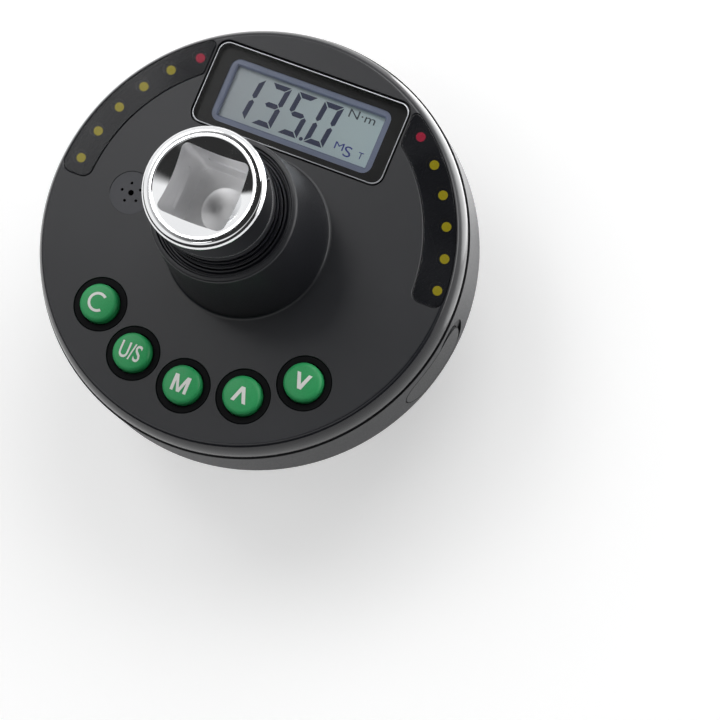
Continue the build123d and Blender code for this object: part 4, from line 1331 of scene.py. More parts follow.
@dataclass
class LampRows:
    """Smoked crescent windows and the lamps under them, on both sides of the display."""

    out_r: float = 39.0
    in_r: float = 33.15
    end_x: float = 20.35
    end_y: float = -0.2
    corner: float = 0.9
    end_corner: float = 1.8
    low: float = 41.95
    high: float = 42.95
    gap: float = 0.08
    lamp_r: float = 0.9
    lamp_base_r: float = 1.15
    lamp_pitch_r: float = 37.0
    lamp_first: float = 38.1
    lamp_step: float = 9.38
    lamp_count: int = 6
    lamp_base: float = 0.8
    lamp_sink: float = 0.15
    window_edge: float = 0.1
    arc_steps: int = 40
    dome_steps: int = 8
    window_sharp: float = 60.0
    board_top: float = 37.0
    slot_gap: float = 0.3

    def outline(self, side: int, grow: float) -> list[Point]:
        """Crescent on the +X or -X side, grown by a margin.

        Args:
            side: 1 on the +X side, -1 on the -X side.
            grow: margin round the crescent.

        Returns:
            The outline, counterclockwise.
        """
        out_r, in_r = self.out_r + grow, self.in_r - grow
        x, y = self.end_x - grow, self.end_y - grow
        low_r, high_r = self.end_corner + grow, self.corner + grow
        low_y, high_x = y + low_r, x + high_r
        in_low = (math.sqrt((in_r + low_r) ** 2 - low_y**2), low_y)
        out_low = (math.sqrt((out_r - low_r) ** 2 - low_y**2), low_y)
        out_high = (high_x, math.sqrt((out_r - high_r) ** 2 - high_x**2))
        in_high = (high_x, math.sqrt((in_r + high_r) ** 2 - high_x**2))
        angles = [math.atan2(place[1], place[0]) for place in (in_low, out_low, out_high, in_high)]
        down, left = -math.pi / 2, math.pi
        points = swept(in_low, low_r, angles[0] + math.pi, down, ARC_STEPS)
        points += swept(out_low, low_r, down, angles[1], ARC_STEPS)
        points += swept((0, 0), out_r, angles[1], angles[2], self.arc_steps)[1:-1]
        points += swept(out_high, high_r, angles[2], left, ARC_STEPS)
        points += swept(in_high, high_r, left, angles[3] + math.pi, ARC_STEPS)
        points += swept((0, 0), in_r, angles[3], angles[0], self.arc_steps)[1:-1]
        if side > 0:
            return points
        return [(-px, py) for px, py in reversed(points)]

    def lamp_places(self, side: int) -> list[Point]:
        """Places of the lamps on one side, the one by the display first."""
        angles = [math.radians(self.lamp_first + self.lamp_step * step) for step in range(self.lamp_count)]
        return [(side * self.lamp_pitch_r * math.sin(a), self.lamp_pitch_r * math.cos(a)) for a in angles]

    def lamp(self) -> Piece:
        """One lamp: a domed body on a small flange.

        Returns:
            The lamp, on the Z axis.
        """
        tip = self.low - self.lamp_sink
        shoulder = tip - self.lamp_r
        outline = [(0, self.board_top), (self.lamp_base_r, self.board_top)]
        outline += [(self.lamp_base_r, self.board_top + self.lamp_base)]
        outline += [(self.lamp_r, self.board_top + self.lamp_base)]
        outline += swept((0, shoulder), self.lamp_r, 0, math.pi / 2, self.dome_steps)[:-1]
        return spun("lamp", outline + [(0, tip)], SMALL_STEPS)

    def build(self) -> None:
        """Make both windows and all lamps."""
        for side, name in ((-1, "left"), (1, "right")):
            window = prism(f"lamp_window_{name}", self.outline(side, 0), self.low, self.high)
            ease_edges(window, self.window_edge, above=self.window_sharp)
            settle(window, WINDOW, HOUSING, [f"led_window_{name}"])
        master = self.lamp()
        places = [self.lamp_places(side) for side in (-1, 1)]
        reds = [moved(twin(master, "red"), (*row[0], 0)) for row in places]
        yellows = [moved(twin(master, "yellow"), (*place, 0)) for row in places for place in row[1:]]
        bpy.data.objects.remove(master)
        shoulder = self.low - self.lamp_sink - self.lamp_r
        for copies, colour, finish in ((reds, "red", RED_LAMP), (yellows, "yellow", YELLOW_LAMP)):
            row = together(f"{colour}_lamps", copies)
            settle(row, finish, HOUSING, [f"leds_{colour}"])
            # Painted shade: the lamps' bodies below the shoulder take the dark epoxy, so only the domes look
            # lit.
            paint(row, LAMP_PAINTED_SHADE, lambda middle, normal: middle.z < shoulder)


class KeyMark(Enum):
    """What a key's legend shows."""

    CLEAR = "C"
    UNIT = "U/S"
    MODE = "M"
    UP = "up arrow"
    DOWN = "down arrow"


@dataclass(frozen=True)
class Key:
    """One key: its node, its body and its legend."""

    node: str
    body: str
    mark: KeyMark


@dataclass
class Keypad:
    """Five domed green caps in their black rings, with white legends."""

    pitch_r: float = 30.15
    step_angle: float = 22.04
    cap_r: float = 3.65
    cap_top: float = 45.0
    crown: float = 0.35
    flange_edge: float = 0.15
    stem_edge: float = 0.2
    crown_steps: tuple[float, ...] = (0, 0.6, 1.2, 1.8, 2.3)
    cap_edge: float = 0.9
    flange_r: float = 4.5
    flange_top: float = 39.94
    flange: float = 0.8
    stem_r: float = 1.3
    stem_low: float = 38.65
    ring_r: float = 5.1
    ring_in_r: float = 3.85
    ring_top: float = 42.88
    ring_gap: float = 0.06
    sheet_low: float = 40.14
    sheet_high: float = 40.74
    sheet_margin: float = 1.5
    ring_sunk: float = 0.1
    ring_edge: float = 0.2
    hole_edge: float = 0.12
    ink: float = 0.05
    letter_r: float = 1.9
    letter_inner: float = 0.73
    letter_gap: float = 48.0
    unit_box: Box = (-2.1, -1.6, 2.1, 1.6)
    bold: float = 0.01
    arrow: tuple[Point, ...] = (
        (-1.5, -1.5), (-0.8, -1.5), (0, 0.55), (0.8, -1.5), (1.5, -1.5), (0.37, 1.5), (-0.37, 1.5),
    )
    letter_m: tuple[Point, ...] = (
        (-1.6, -1.6), (-1.0, -1.6), (-1.0, 0.45), (-0.3, -1.6), (0.3, -1.6), (1.0, 0.45), (1.0, -1.6),
        (1.6, -1.6), (1.6, 1.6), (0.85, 1.6), (0, -0.8), (-0.85, 1.6), (-1.6, 1.6),
    )
    keys: tuple[Key, ...] = (
        Key("button_clear", "clear_key", KeyMark.CLEAR),
        Key("button_unit", "unit_key", KeyMark.UNIT),
        Key("button_mode", "mode_key", KeyMark.MODE),
        Key("button_up", "up_key", KeyMark.UP),
        Key("button_down", "down_key", KeyMark.DOWN),
    )

    def places(self) -> list[Point]:
        """Places of the keys, from -X to +X.

        Returns:
            Middle of each key in plan.
        """
        middle = (len(self.keys) - 1) / 2
        angles = [math.radians(180 - self.step_angle * (step - middle)) for step in range(len(self.keys))]
        return [(self.pitch_r * math.sin(a), self.pitch_r * math.cos(a)) for a in angles]

    def cap(self) -> Piece:
        """One cap on the axis, with its crown, flange and stem.

        Returns:
            The cap, on the Z axis.
        """
        crown = [(r, self.cap_top - self.crown * (r / self.cap_r) ** 2) for r in self.crown_steps]
        outline = rounded(crown + [
            (self.cap_r, self.cap_top - self.crown, self.cap_edge),
            (self.cap_r, self.flange_top), (self.flange_r, self.flange_top, self.flange_edge),
            (self.flange_r, self.flange_top - self.flange),
            (self.stem_r, self.flange_top - self.flange), (self.stem_r, self.stem_low, self.stem_edge),
            (0, self.stem_low),
        ])
        return spun("cap", outline, HOLE_STEPS)

    def legend(self, mark: KeyMark) -> Piece:
        """Legend of one key about the origin, thick enough to be trimmed to the crown.

        Args:
            mark: what the key shows.

        Returns:
            The legend, on the Z axis.
        """
        low, high = self.cap_top - OVER, self.cap_top + OVER
        if mark is KeyMark.UNIT:
            return lettering("legend", mark.value, self.unit_box, low, high - low, self.bold)
        if mark is KeyMark.CLEAR:
            start, end = math.radians(self.letter_gap), math.radians(360 - self.letter_gap)
            turn = (end - start) / SMALL_STEPS
            angles = [start + turn * step for step in range(SMALL_STEPS + 1)]
            outer = [(self.letter_r * math.cos(a), self.letter_r * math.sin(a)) for a in angles]
            outline = outer + [(x * self.letter_inner, y * self.letter_inner) for x, y in reversed(outer)]
        elif mark is KeyMark.MODE:
            outline = list(self.letter_m)
        else:
            way = 1 if mark is KeyMark.UP else -1
            outline = [(x, y * way) for x, y in self.arrow]
        return prism("legend", outline, low, high)

    def printed_legend(self, key: Key, place: Point) -> None:
        """Legend as a thin coat of ink that follows the cap's crown.

        Args:
            key: the key that it belongs to.
            place: middle of the key in plan.
        """
        legend = self.legend(key.mark)
        shell = self.cap()
        moved(shell, (0, 0, self.ink))
        carve(legend, shell, Carve.KEEP)
        inner = self.cap()
        moved(inner, (0, 0, -self.ink))
        carve(legend, inner)
        moved(legend, (*place, 0))
        legend.name = f"legend_{key.node}"
        settle(legend, LEGEND, key.body)

    def membrane(self) -> Piece:
        """Rubber sheet under the lid with a raised ring round each key.

        Returns:
            The sheet with its rings and holes.
        """
        reach = math.radians(self.step_angle * 2) + (self.ring_r + self.sheet_margin) / self.pitch_r
        out_r = self.pitch_r + self.ring_r + self.sheet_margin
        in_r = self.pitch_r - self.ring_r - self.sheet_margin
        down = -math.pi / 2
        outline = swept((0, 0), out_r, down - reach, down + reach, TOOL_STEPS)
        outline += swept((0, 0), in_r, down + reach, down - reach, TOOL_STEPS)
        sheet = prism("key_membrane_sheet", outline, self.sheet_low, self.sheet_high)
        for x, y in self.places():
            ring = prism("ring", circle(self.ring_r, (x, y)), self.sheet_low + self.ring_sunk, self.ring_top)
            with editing(ring):
                choose_faces(ring, lambda face: face.normal.z > LEVEL)
                bpy.ops.mesh.bevel(offset=self.ring_edge, segments=3, affect="EDGES")
            carve(sheet, ring, Carve.JOIN)
        for x, y in self.places():
            hole = circle(self.ring_in_r + self.hole_edge, (x, y))
            carve(sheet, pocket("key_hole", hole, self.sheet_low - OVER, self.ring_top, self.hole_edge))
        return sheet

    def build(self) -> None:
        """Make the membrane, the caps and their legends."""
        settle(self.membrane(), KEY_RING, HOUSING, ["key_membrane"])
        master = self.cap()
        for key, place in zip(self.keys, self.places()):
            cap = moved(twin(master, f"cap_{key.node}"), (*place, 0))
            settle(cap, KEY_CAP, key.body, [key.node])
            self.printed_legend(key, place)
        bpy.data.objects.remove(master)


@dataclass
class Lid:
    """Disc lid moulded in one with the conical neck, and the seal in the neck's mouth."""

    display: Display
    lamps: LampRows
    keypad: Keypad
    face_r: float = 39.3
    rim_r: float = 40.8
    rim_bow: float = 0.36
    face_edge: float = 1.0
    neck_top_r: float = 13.45
    neck_base_r: float = 15.5
    neck_edge: float = 0.7
    neck_root: float = 0.6
    bore_r: float = 12.0
    seat_r: float = 12.56
    seat_low: float = 54.68
    inner_r: float = 38.7
    tongue_r: float = 39.8
    tongue_low: float = 37.3
    groove: float = 0.3
    edge: float = 0.08
    window_edge: float = 0.2
    grille_x: float = -24.2
    grille_r: float = 4.2
    grille_sink: float = 0.12
    grille_edge: float = 0.06
    tongue_edge: float = 0.2
    rim_edge: float = 0.1
    bow_steps: int = 8
    seat_edge: float = 0.12
    grille_hole_r: float = 0.55
    grille_small_r: float = 0.28
    grille_pitch_r: float = 1.87
    grille_count: int = 5
    grille_first: float = 54.0
    seal_r: float = 12.5
    seal_in_r: float = 11.05
    seal_low: float = 59.6
    seal_top: float = 62.4
    seal_rise: float = 0.75
    seal_lip: float = 0.42
    seal_edge: float = 0.1
    seal_round: float = 0.16
    seal_slope: float = 0.13
    seal_bed: float = 0.8

    def body(self) -> Piece:
        """Turned shape of lid and neck.

        Returns:
            The body, without its openings.
        """
        parting = LEVELS.parting + self.groove / 2
        bow = bowed((self.face_r, LEVELS.face), (self.rim_r, parting), self.rim_bow, self.bow_steps)
        outline = rounded([
            (self.bore_r, LEVELS.lid_under), (self.inner_r, LEVELS.lid_under),
            (self.inner_r, self.tongue_low), (self.tongue_r, self.tongue_low, self.tongue_edge),
            (self.tongue_r, parting), (self.rim_r, parting, self.rim_edge),
            *reversed(bow[1:]),
            (self.face_r, LEVELS.face, self.face_edge),
            (self.neck_base_r, LEVELS.face, self.neck_root),
            (self.neck_top_r, LEVELS.neck, self.neck_edge), (self.seat_r, LEVELS.neck, self.seat_edge),
            (self.seat_r, self.seat_low), (self.bore_r, self.seat_low),
        ])
        return spun("lid_with_neck", outline)

    def cut_display(self, lid: Piece) -> None:
        """Pocket for the lens and the opening behind it.

        Args:
            lid: the lid, which is changed.
        """
        display = self.display
        mouth = display.lens_outline(display.lens_gap + self.edge)
        carve(lid, pocket("lens_pocket", mouth, display.lens_low, LEVELS.face, self.edge))
        opening = display.view_outline(display.ledge)
        carve(lid, prism("view_opening", opening, LEVELS.lid_under - OVER, display.lens_low + OVER / 2))

    def cut_lamps(self, lid: Piece) -> None:
        """Pockets for the lamp windows and the light slots under them.

        Args:
            lid: the lid, which is changed.
        """
        lamps = self.lamps
        for side in (-1, 1):
            mouth = lamps.outline(side, lamps.gap + self.window_edge)
            carve(lid, pocket("window_pocket", mouth, lamps.low, LEVELS.face, self.window_edge))
            slot_r = lamps.lamp_base_r + lamps.slot_gap
            for place in lamps.lamp_places(side):
                slot = circle(slot_r, place, MIDDLE_STEPS)
                carve(lid, prism("slot", slot, LEVELS.lid_under - OVER, lamps.low + OVER / 2))

    def cut_keys(self, lid: Piece) -> None:
        """Round openings for the rings of the keys.

        Args:
            lid: the lid, which is changed.
        """
        keypad = self.keypad
        for place in keypad.places():
            mouth = circle(keypad.ring_r + keypad.ring_gap + self.edge, place)
            carve(lid, pocket("key_opening", mouth, LEVELS.lid_under - OVER, LEVELS.face, self.edge))

    def cut_grille(self, lid: Piece) -> None:
        """Round recess with one large and five small holes for the sounder.

        Args:
            lid: the lid, which is changed.
        """
        place = (self.grille_x, 0.0)
        floor = LEVELS.face - self.grille_sink
        recess = circle(self.grille_r, place)
        carve(lid, pocket("grille_recess", recess, floor, LEVELS.face, self.grille_edge))
        holes = [(self.grille_hole_r, place)]
        for step in range(self.grille_count):
            angle = math.radians(self.grille_first + 360 * step / self.grille_count)
            x = self.grille_x + self.grille_pitch_r * math.sin(angle)
            holes.append((self.grille_small_r, (x, self.grille_pitch_r * math.cos(angle))))
        for radius, centre in holes:
            hole = circle(radius, centre, TINY_STEPS)
            carve(lid, prism("hole", hole, LEVELS.lid_under - OVER, LEVELS.face + OVER))

    def on_edge(self, middle: Vector, normal: Vector) -> bool:
        """Whether a face lies on the disc's outer edge, where the mould is polished."""
        outside = middle.xy.length > self.face_r - self.face_edge
        return outside and middle.z > LEVELS.parting and normal.z < FLAT

    def on_pad(self, middle: Vector, normal: Vector) -> bool:
        """Whether a face is the floor of the grille's recess, which takes a lighter, rougher charcoal.

        Args:
            middle: middle of the face, in millimetres.
            normal: the face's outward direction.

        Returns:
            True for a face of the recess's floor.
        """
        near = (middle.xy - Vector((self.grille_x, 0))).length < self.grille_r
        depth = LEVELS.face - middle.z
        return near and normal.z > FLAT and self.grille_sink / 2 < depth < 2 * self.grille_sink

    def seal(self) -> Piece:
        """Ring with one lip against the neck and one against the shaft's head.

        Returns:
            The ring, in its place.
        """
        outer, inner, high = self.seal_r, self.seal_in_r, self.seal_top
        lip, edge, valley = self.seal_lip, self.seal_edge, self.seal_top - self.seal_rise
        return spun("neck_wiper_seal", rounded([
            (inner, self.seal_low), (outer, self.seal_low), (outer, high, self.seal_round),
            (outer - lip, high, self.seal_round), (outer - lip - self.seal_slope, valley, edge),
            (outer - self.seal_bed, valley, edge),
            (inner + lip, high - edge, edge), (inner + edge, high - edge, edge), (inner, valley),
        ], SMALL_ARC_STEPS))

    def build(self) -> None:
        """Make the lid with all its openings, and the seal."""
        lid = self.body()
        self.cut_display(lid)
        self.cut_lamps(lid)
        self.cut_keys(lid)
        self.cut_grille(lid)
        settle(lid, CASE, HOUSING, ["top_shell"])
        paint(lid, CASE_EDGE, self.on_edge)
        paint(lid, CASE_PAD, self.on_pad)
        settle(self.seal(), SEAL, HOUSING, ["neck_seal"])


@dataclass
class Underside:
    """Side wall and floor of the disc, the stepped block under it, its cover and the port."""

    wall_r: float = 41.5
    wall_top_r: float = 41.1
    wall_bottom_edge: float = 0.9
    groove_depth: float = 0.55
    groove: float = 0.3
    groove_lip: float = 0.09
    groove_drop: float = 0.6
    inner_r: float = 38.7
    tongue_seat_r: float = 39.9
    tongue_seat: float = 37.2
    floor_top: float = 28.9
    bay_top: float = 28.7
    roof_top: float = 30.2
    boss_hole_r: float = 10.94
    wall: float = 1.7
    steps: tuple[tuple[float, float, float], ...] = ((25.2, 30.5, 1.8), (27.1, 27.0, 1.0), (30.4, 22.6, 1.8))
    cover_floor: float = 1.7
    cover_edge: float = 0.9
    cover_side: float = 5.3
    cover_middle: float = 3.6
    wave_inset: float = 1.7
    wave_run: float = 6.5
    wave_steps: int = 12
    block_inner_r: float = 0.4
    hollow_inner_r: float = 0.7
    boss_r: float = 2.4
    cover_gap: float = 0.2
    screw_x: float = 26.0
    screw_y: float = 19.0
    screw_r: float = 1.1
    screw_head_r: float = 2.1
    screw_head: float = 1.3
    screw_sink: float = 0.5
    screw_room: float = 0.25
    screw_shank: float = 6.5
    head_edge: float = 0.45
    tip_edge: float = 0.3
    groove_edge: float = 0.07
    below_floor: float = 5.0
    flap_sharp: float = 50.0
    recess_half: float = 1.155
    recess_thin: float = 0.25
    recess_depth: float = 0.7
    shaft_hole_r: float = 9.35
    port_angle: float = -12.5
    port_length: float = 16.6
    port_height: float = 7.8
    port_z: float = 32.3
    port_thickness: float = 1.1
    port_gap: float = 0.2
    pill_flat: float = 0.01
    port_plug_r: float = 1.1
    port_plug: float = 1.2
    notch_shift: float = 1.1
    notch_rise: float = 0.7
    notch_over: float = 0.4
    notch_depth: float = 1.0
    nose_r: float = 2.96
    nose_reach: float = 2.4
    port_near: float = 30.0
    flap_edge: float = 0.12
    plug_edge: float = 0.1
    plug_sunk: float = 0.6

    def stepped(self, name: str, inset: float, low: float, high: float, inner_r: float) -> Piece:
        """Three crossed blocks as one, with rounded upright corners.

        Args:
            name: name of the new piece.
            inset: how far its sides lie inside the block's.
            low: height of its underside.
            high: height of its top.
            inner_r: least radius of its corners.

        Returns:
            The stepped block.
        """
        body: Piece | None = None
        for half_x, half_y, radius in self.steps:
            outline = rectangle(2 * (half_x - inset), 2 * (half_y - inset), max(radius - inset, inner_r))
            one = prism(name, outline, low, high)
            body = one if body is None else carve(body, one, Carve.JOIN)
        return body

    def wave_region(self, name: str, shift: float, low: float, reach: float = 40.0) -> Piece:
        """Solid under the wavy parting surface, moved down by a shift.

        Args:
            name: name of the new piece.
            shift: how far it is moved down.
            low: height of its underside.
            reach: half of its size across.

        Returns:
            The solid, wider than the block.
        """
        side = LEVELS.block + self.cover_side - shift
        middle = LEVELS.block + self.cover_middle - shift
        outer = self.steps[0][0] - self.wave_inset
        half = []
        for step in range(self.wave_steps + 1):
            share = step / self.wave_steps
            ease = share * share * (3 - 2 * share)
            half.append((outer - self.wave_run * share, side + (middle - side) * ease))
        line = [(-reach, low), (reach, low), (reach, side), *half]
        line += [(-x, y) for x, y in reversed(half)] + [(-reach, side)]
        region = trace(name, line, Plane.SIDE)
        with editing(region):
            bpy.ops.mesh.edge_face_add()
            raise_by((0, 2 * reach, 0))
            bpy.ops.mesh.select_all(action="SELECT")
            bpy.ops.transform.translate(value=(0, -reach, 0))
        tidy_skin(region)
        return region

    def screw_places(self) -> list[Point]:
        """Places of the battery cover's screws."""
        return [(sx * self.screw_x, sy * self.screw_y) for sx in (-1, 1) for sy in (-1, 1)]

    def pill(self, name: str, grow: float) -> Piece:
        """Pill-shaped bar that runs out along the port's direction.

        Args:
            name: name of the new piece.
            grow: margin round the pill.

        Returns:
            The bar, from inside the wall to beyond it.
        """
        height = self.port_height + 2 * grow
        outline = rectangle(self.port_length + 2 * grow, height, height / 2 - self.pill_flat)
        return self.port_bar(prism(name, outline, self.port_near, self.wall_r + OVER), (0, 0))

    def port_bar(self, bar: Piece, shift: Point) -> Piece:
        """Lay an upright bar along the port's direction, shifted along the wall and upwards.

        Args:
            bar: upright bar, raised from the axis outwards.
            shift: how far along the wall and up.

        Returns:
            The same bar, laid.
        """
        turned_by(bar, 90, "X")
        turned_by(bar, 90, "Z")
        moved(bar, (0, shift[0], self.port_z + shift[1]))
        return turned_by(bar, self.port_angle)

    def shell(self) -> Piece:
        """Disc wall, floor and block with the port's pocket.

        Returns:
            The bottom shell.
        """
        edge = LEVELS.parting - self.groove / 2
        outline = rounded([
            (self.boss_hole_r, LEVELS.floor), (self.wall_r, LEVELS.floor, self.wall_bottom_edge),
            (self.wall_top_r, edge, self.groove_edge), (self.wall_top_r - self.groove_lip, edge),
            (self.wall_top_r - self.groove_lip, edge - self.groove_drop),
            (self.wall_top_r - self.groove_depth, edge - self.groove_drop),
            (self.wall_top_r - self.groove_depth, edge + self.groove),
            (self.tongue_seat_r, edge + self.groove), (self.tongue_seat_r, self.tongue_seat),
            (self.inner_r, self.tongue_seat), (self.inner_r, self.floor_top),
            (self.boss_hole_r, self.floor_top),
        ])
        body = spun("disc_base", outline)
        carve(body, self.stepped("block", 0, LEVELS.block, self.roof_top, self.block_inner_r), Carve.JOIN)
        carve(body, self.stepped("hollow", self.wall, LEVELS.block - OVER, self.bay_top, self.hollow_inner_r))
        way = circle(self.boss_hole_r, steps=HOLE_STEPS)
        carve(body, prism("shaft_way", way, LEVELS.block - OVER, self.roof_top + OVER))
        wave = self.wave_region("wave", -self.cover_gap, LEVELS.block - 2 * OVER)
        carve(body, wave)
        return body

    def cut_port(self, body: Piece) -> None:
        """Pocket, notch and nose hole of the data port.

        Args:
            body: the body to cut, which is changed.
        """
        floor_r = self.wall_top_r - self.port_thickness - self.port_gap
        pocket_tool = self.pill("port_pocket", self.port_gap)
        low = LEVELS.floor - self.below_floor
        core = prism("port_core", circle(floor_r, steps=TURN_STEPS), low, LEVELS.face)
        carve(body, carve(pocket_tool, core))
        end = (self.port_length - self.port_height) / 2
        notch_r = self.port_height / 2 + self.notch_over
        near = floor_r + self.port_thickness - self.notch_depth
        notch = prism("notch", circle(notch_r), near, self.wall_r + OVER)
        carve(body, self.port_bar(notch, (end + self.notch_shift, self.notch_rise)))
        round_nose = circle(self.nose_r, steps=TOOL_STEPS)
        nose = prism("nose", round_nose, self.inner_r - self.nose_reach, self.wall_r)
        carve(body, self.port_bar(nose, (0, 0)))

    def cover(self) -> Piece:
        """Battery cover with the wavy edge, the shaft's hole and the screw seats.

        Returns:
            The battery cover.
        """
        body = self.stepped("battery_door", 0, LEVELS.block, LEVELS.floor, self.block_inner_r)
        with editing(body):
            choose_faces(body, lambda face: face.normal.z < -LEVEL)
            bpy.ops.mesh.dissolve_faces()
            bpy.ops.mesh.bevel(offset=self.cover_edge, segments=SMALL_ARC_STEPS, affect="EDGES")
        low = LEVELS.block + self.cover_floor
        carve(body, self.stepped("hollow", self.wall, low, LEVELS.floor + OVER, self.hollow_inner_r))
        for place in self.screw_places():
            low = LEVELS.block + self.cover_floor / 2
            boss = circle(self.boss_r, place, MIDDLE_STEPS)
            carve(body, prism("boss", boss, low, LEVELS.floor), Carve.JOIN)
        carve(body, self.wave_region("wave", 0, LEVELS.block - 2 * OVER), Carve.KEEP)
        way = circle(self.shaft_hole_r, steps=HOLE_STEPS)
        carve(body, prism("shaft_hole", way, LEVELS.block - OVER, LEVELS.floor))
        for place in self.screw_places():
            seat = LEVELS.block + self.screw_sink + self.screw_head
            head_hole = circle(self.screw_head_r + self.screw_room, place, TOOL_STEPS)
            carve(body, prism("seat", head_hole, LEVELS.block - OVER, seat))
            way = circle(self.screw_r + self.screw_room, place, SMALL_STEPS)
            carve(body, prism("way", way, seat - OVER / 2, LEVELS.floor))
        return body

    def screws(self) -> Piece:
        """Four cross-recessed screws, their heads sunk in the cover.

        Returns:
            The screws, as one piece.
        """
        low = LEVELS.block + self.screw_sink
        seat = low + self.screw_head
        tip = seat + self.screw_shank
        outline = rounded([
            (0, low), (self.screw_head_r, low, self.head_edge), (self.screw_head_r, seat),
            (self.screw_r, seat), (self.screw_r, tip, self.tip_edge), (0, tip),
        ], SMALL_ARC_STEPS)
        master = spun("screw", outline, TOOL_STEPS)
        half, thin = self.recess_half, self.recess_thin
        for width, length in ((thin, half), (half, thin)):
            slot = block("recess", (-width, -length, low - OVER), (width, length, low + self.recess_depth))
            carve(master, slot)
        copies = [moved(twin(master, "screw"), (*place, 0)) for place in self.screw_places()]
        bpy.data.objects.remove(master)
        return together("cover_screw_set", copies)

    def flap(self) -> Piece:
        """Port cover, curved with the wall, with the plug on its back.

        Returns:
            The port cover, closed.
        """
        body = self.pill("port_flap", 0)
        wall = rounded([
            (0, LEVELS.floor), (self.wall_r, LEVELS.floor),
            (self.wall_top_r, LEVELS.parting), (0, LEVELS.parting),
        ])
        carve(body, spun("wall_tool", wall), Carve.KEEP)
        back_r = self.wall_top_r - self.port_thickness
        low = LEVELS.floor - self.below_floor
        carve(body, prism("back", circle(back_r, steps=TURN_STEPS), low, LEVELS.face))
        ease_edges(body, self.flap_edge, above=self.flap_sharp)
        round_plug = circle(self.port_plug_r, steps=MIDDLE_STEPS)
        plug = prism("plug", round_plug, back_r - self.port_plug, back_r + self.plug_sunk)
        ease_edges(plug, self.plug_edge, above=self.flap_sharp)
        return carve(body, self.port_bar(plug, (0, 0)), Carve.JOIN)

    def build(self) -> None:
        """Make the base, the cover, its screws and the port's flap."""
        body = self.shell()
        self.cut_port(body)
        settle(body, BASE, HOUSING, ["bottom_shell"])
        settle(self.cover(), COVER, HOUSING, ["battery_cover"])
        settle(self.screws(), ZINC, HOUSING, ["cover_screws"])
        settle(self.flap(), FLAP, "port_flap", ["port_cover"])


@dataclass
class Innards:
    """Construction nodes that stay as they are and only get their finish."""

    finishes: dict[str, Finish] = field(default_factory=lambda: {
        "detent_spring": WIRE,
        "upper_bush": BRONZE,
        "lower_bush": BRONZE,
        "retaining_ring": RING_STEEL,
        "case_screws": ZINC,
        "board_screws": ZINC,
        "zebra_strips": ZEBRA,
        "key_switches": NICKEL,
        "circuit_board": BOARD,
        "buzzer": BUZZER_CASE,
        "data_socket": NYLON,
        "strain_gauges": POLYIMIDE,
        "gauge_flex": POLYIMIDE,
        "battery_left": CELL,
        "battery_right": CELL,
        "battery_plates": NICKEL,
        "battery_springs": WIRE,
    })

    def dress(self) -> None:
        """Put each finish on its node."""
        for name, finish in self.finishes.items():
            node = frame["nodes"][name]
            node.data.materials.clear()
            node.data.materials.append(finish.material())
            log.info("%s: dressed in %s", name, finish.name)


@dataclass(frozen=True)
class Panel:
    """Soft oval panel light, in millimetres.

    Its power is its brightness times pi times the rectangle round it, so that a
    panel of another size looks as bright. The cards lie behind the camera's view
    or on the floor beside the object, and are there for what mirrors them.
    """

    name: str
    place: tuple[float, float, float]
    size: tuple[float, float]
    brightness: float
    aim: tuple[float, float, float] = (0.0, 0.0, 43.0)


@dataclass(frozen=True)
class Glow:
    """Patch of the surroundings that is brighter or darker than the rest.

    It is full within the inner angle and gone at the outer one, in degrees from
    its middle. A flatness above 1 makes it wider than it is high.
    """

    towards: tuple[float, float, float]
    inner: float
    outer: float
    level: float
    flatness: float = 1.0


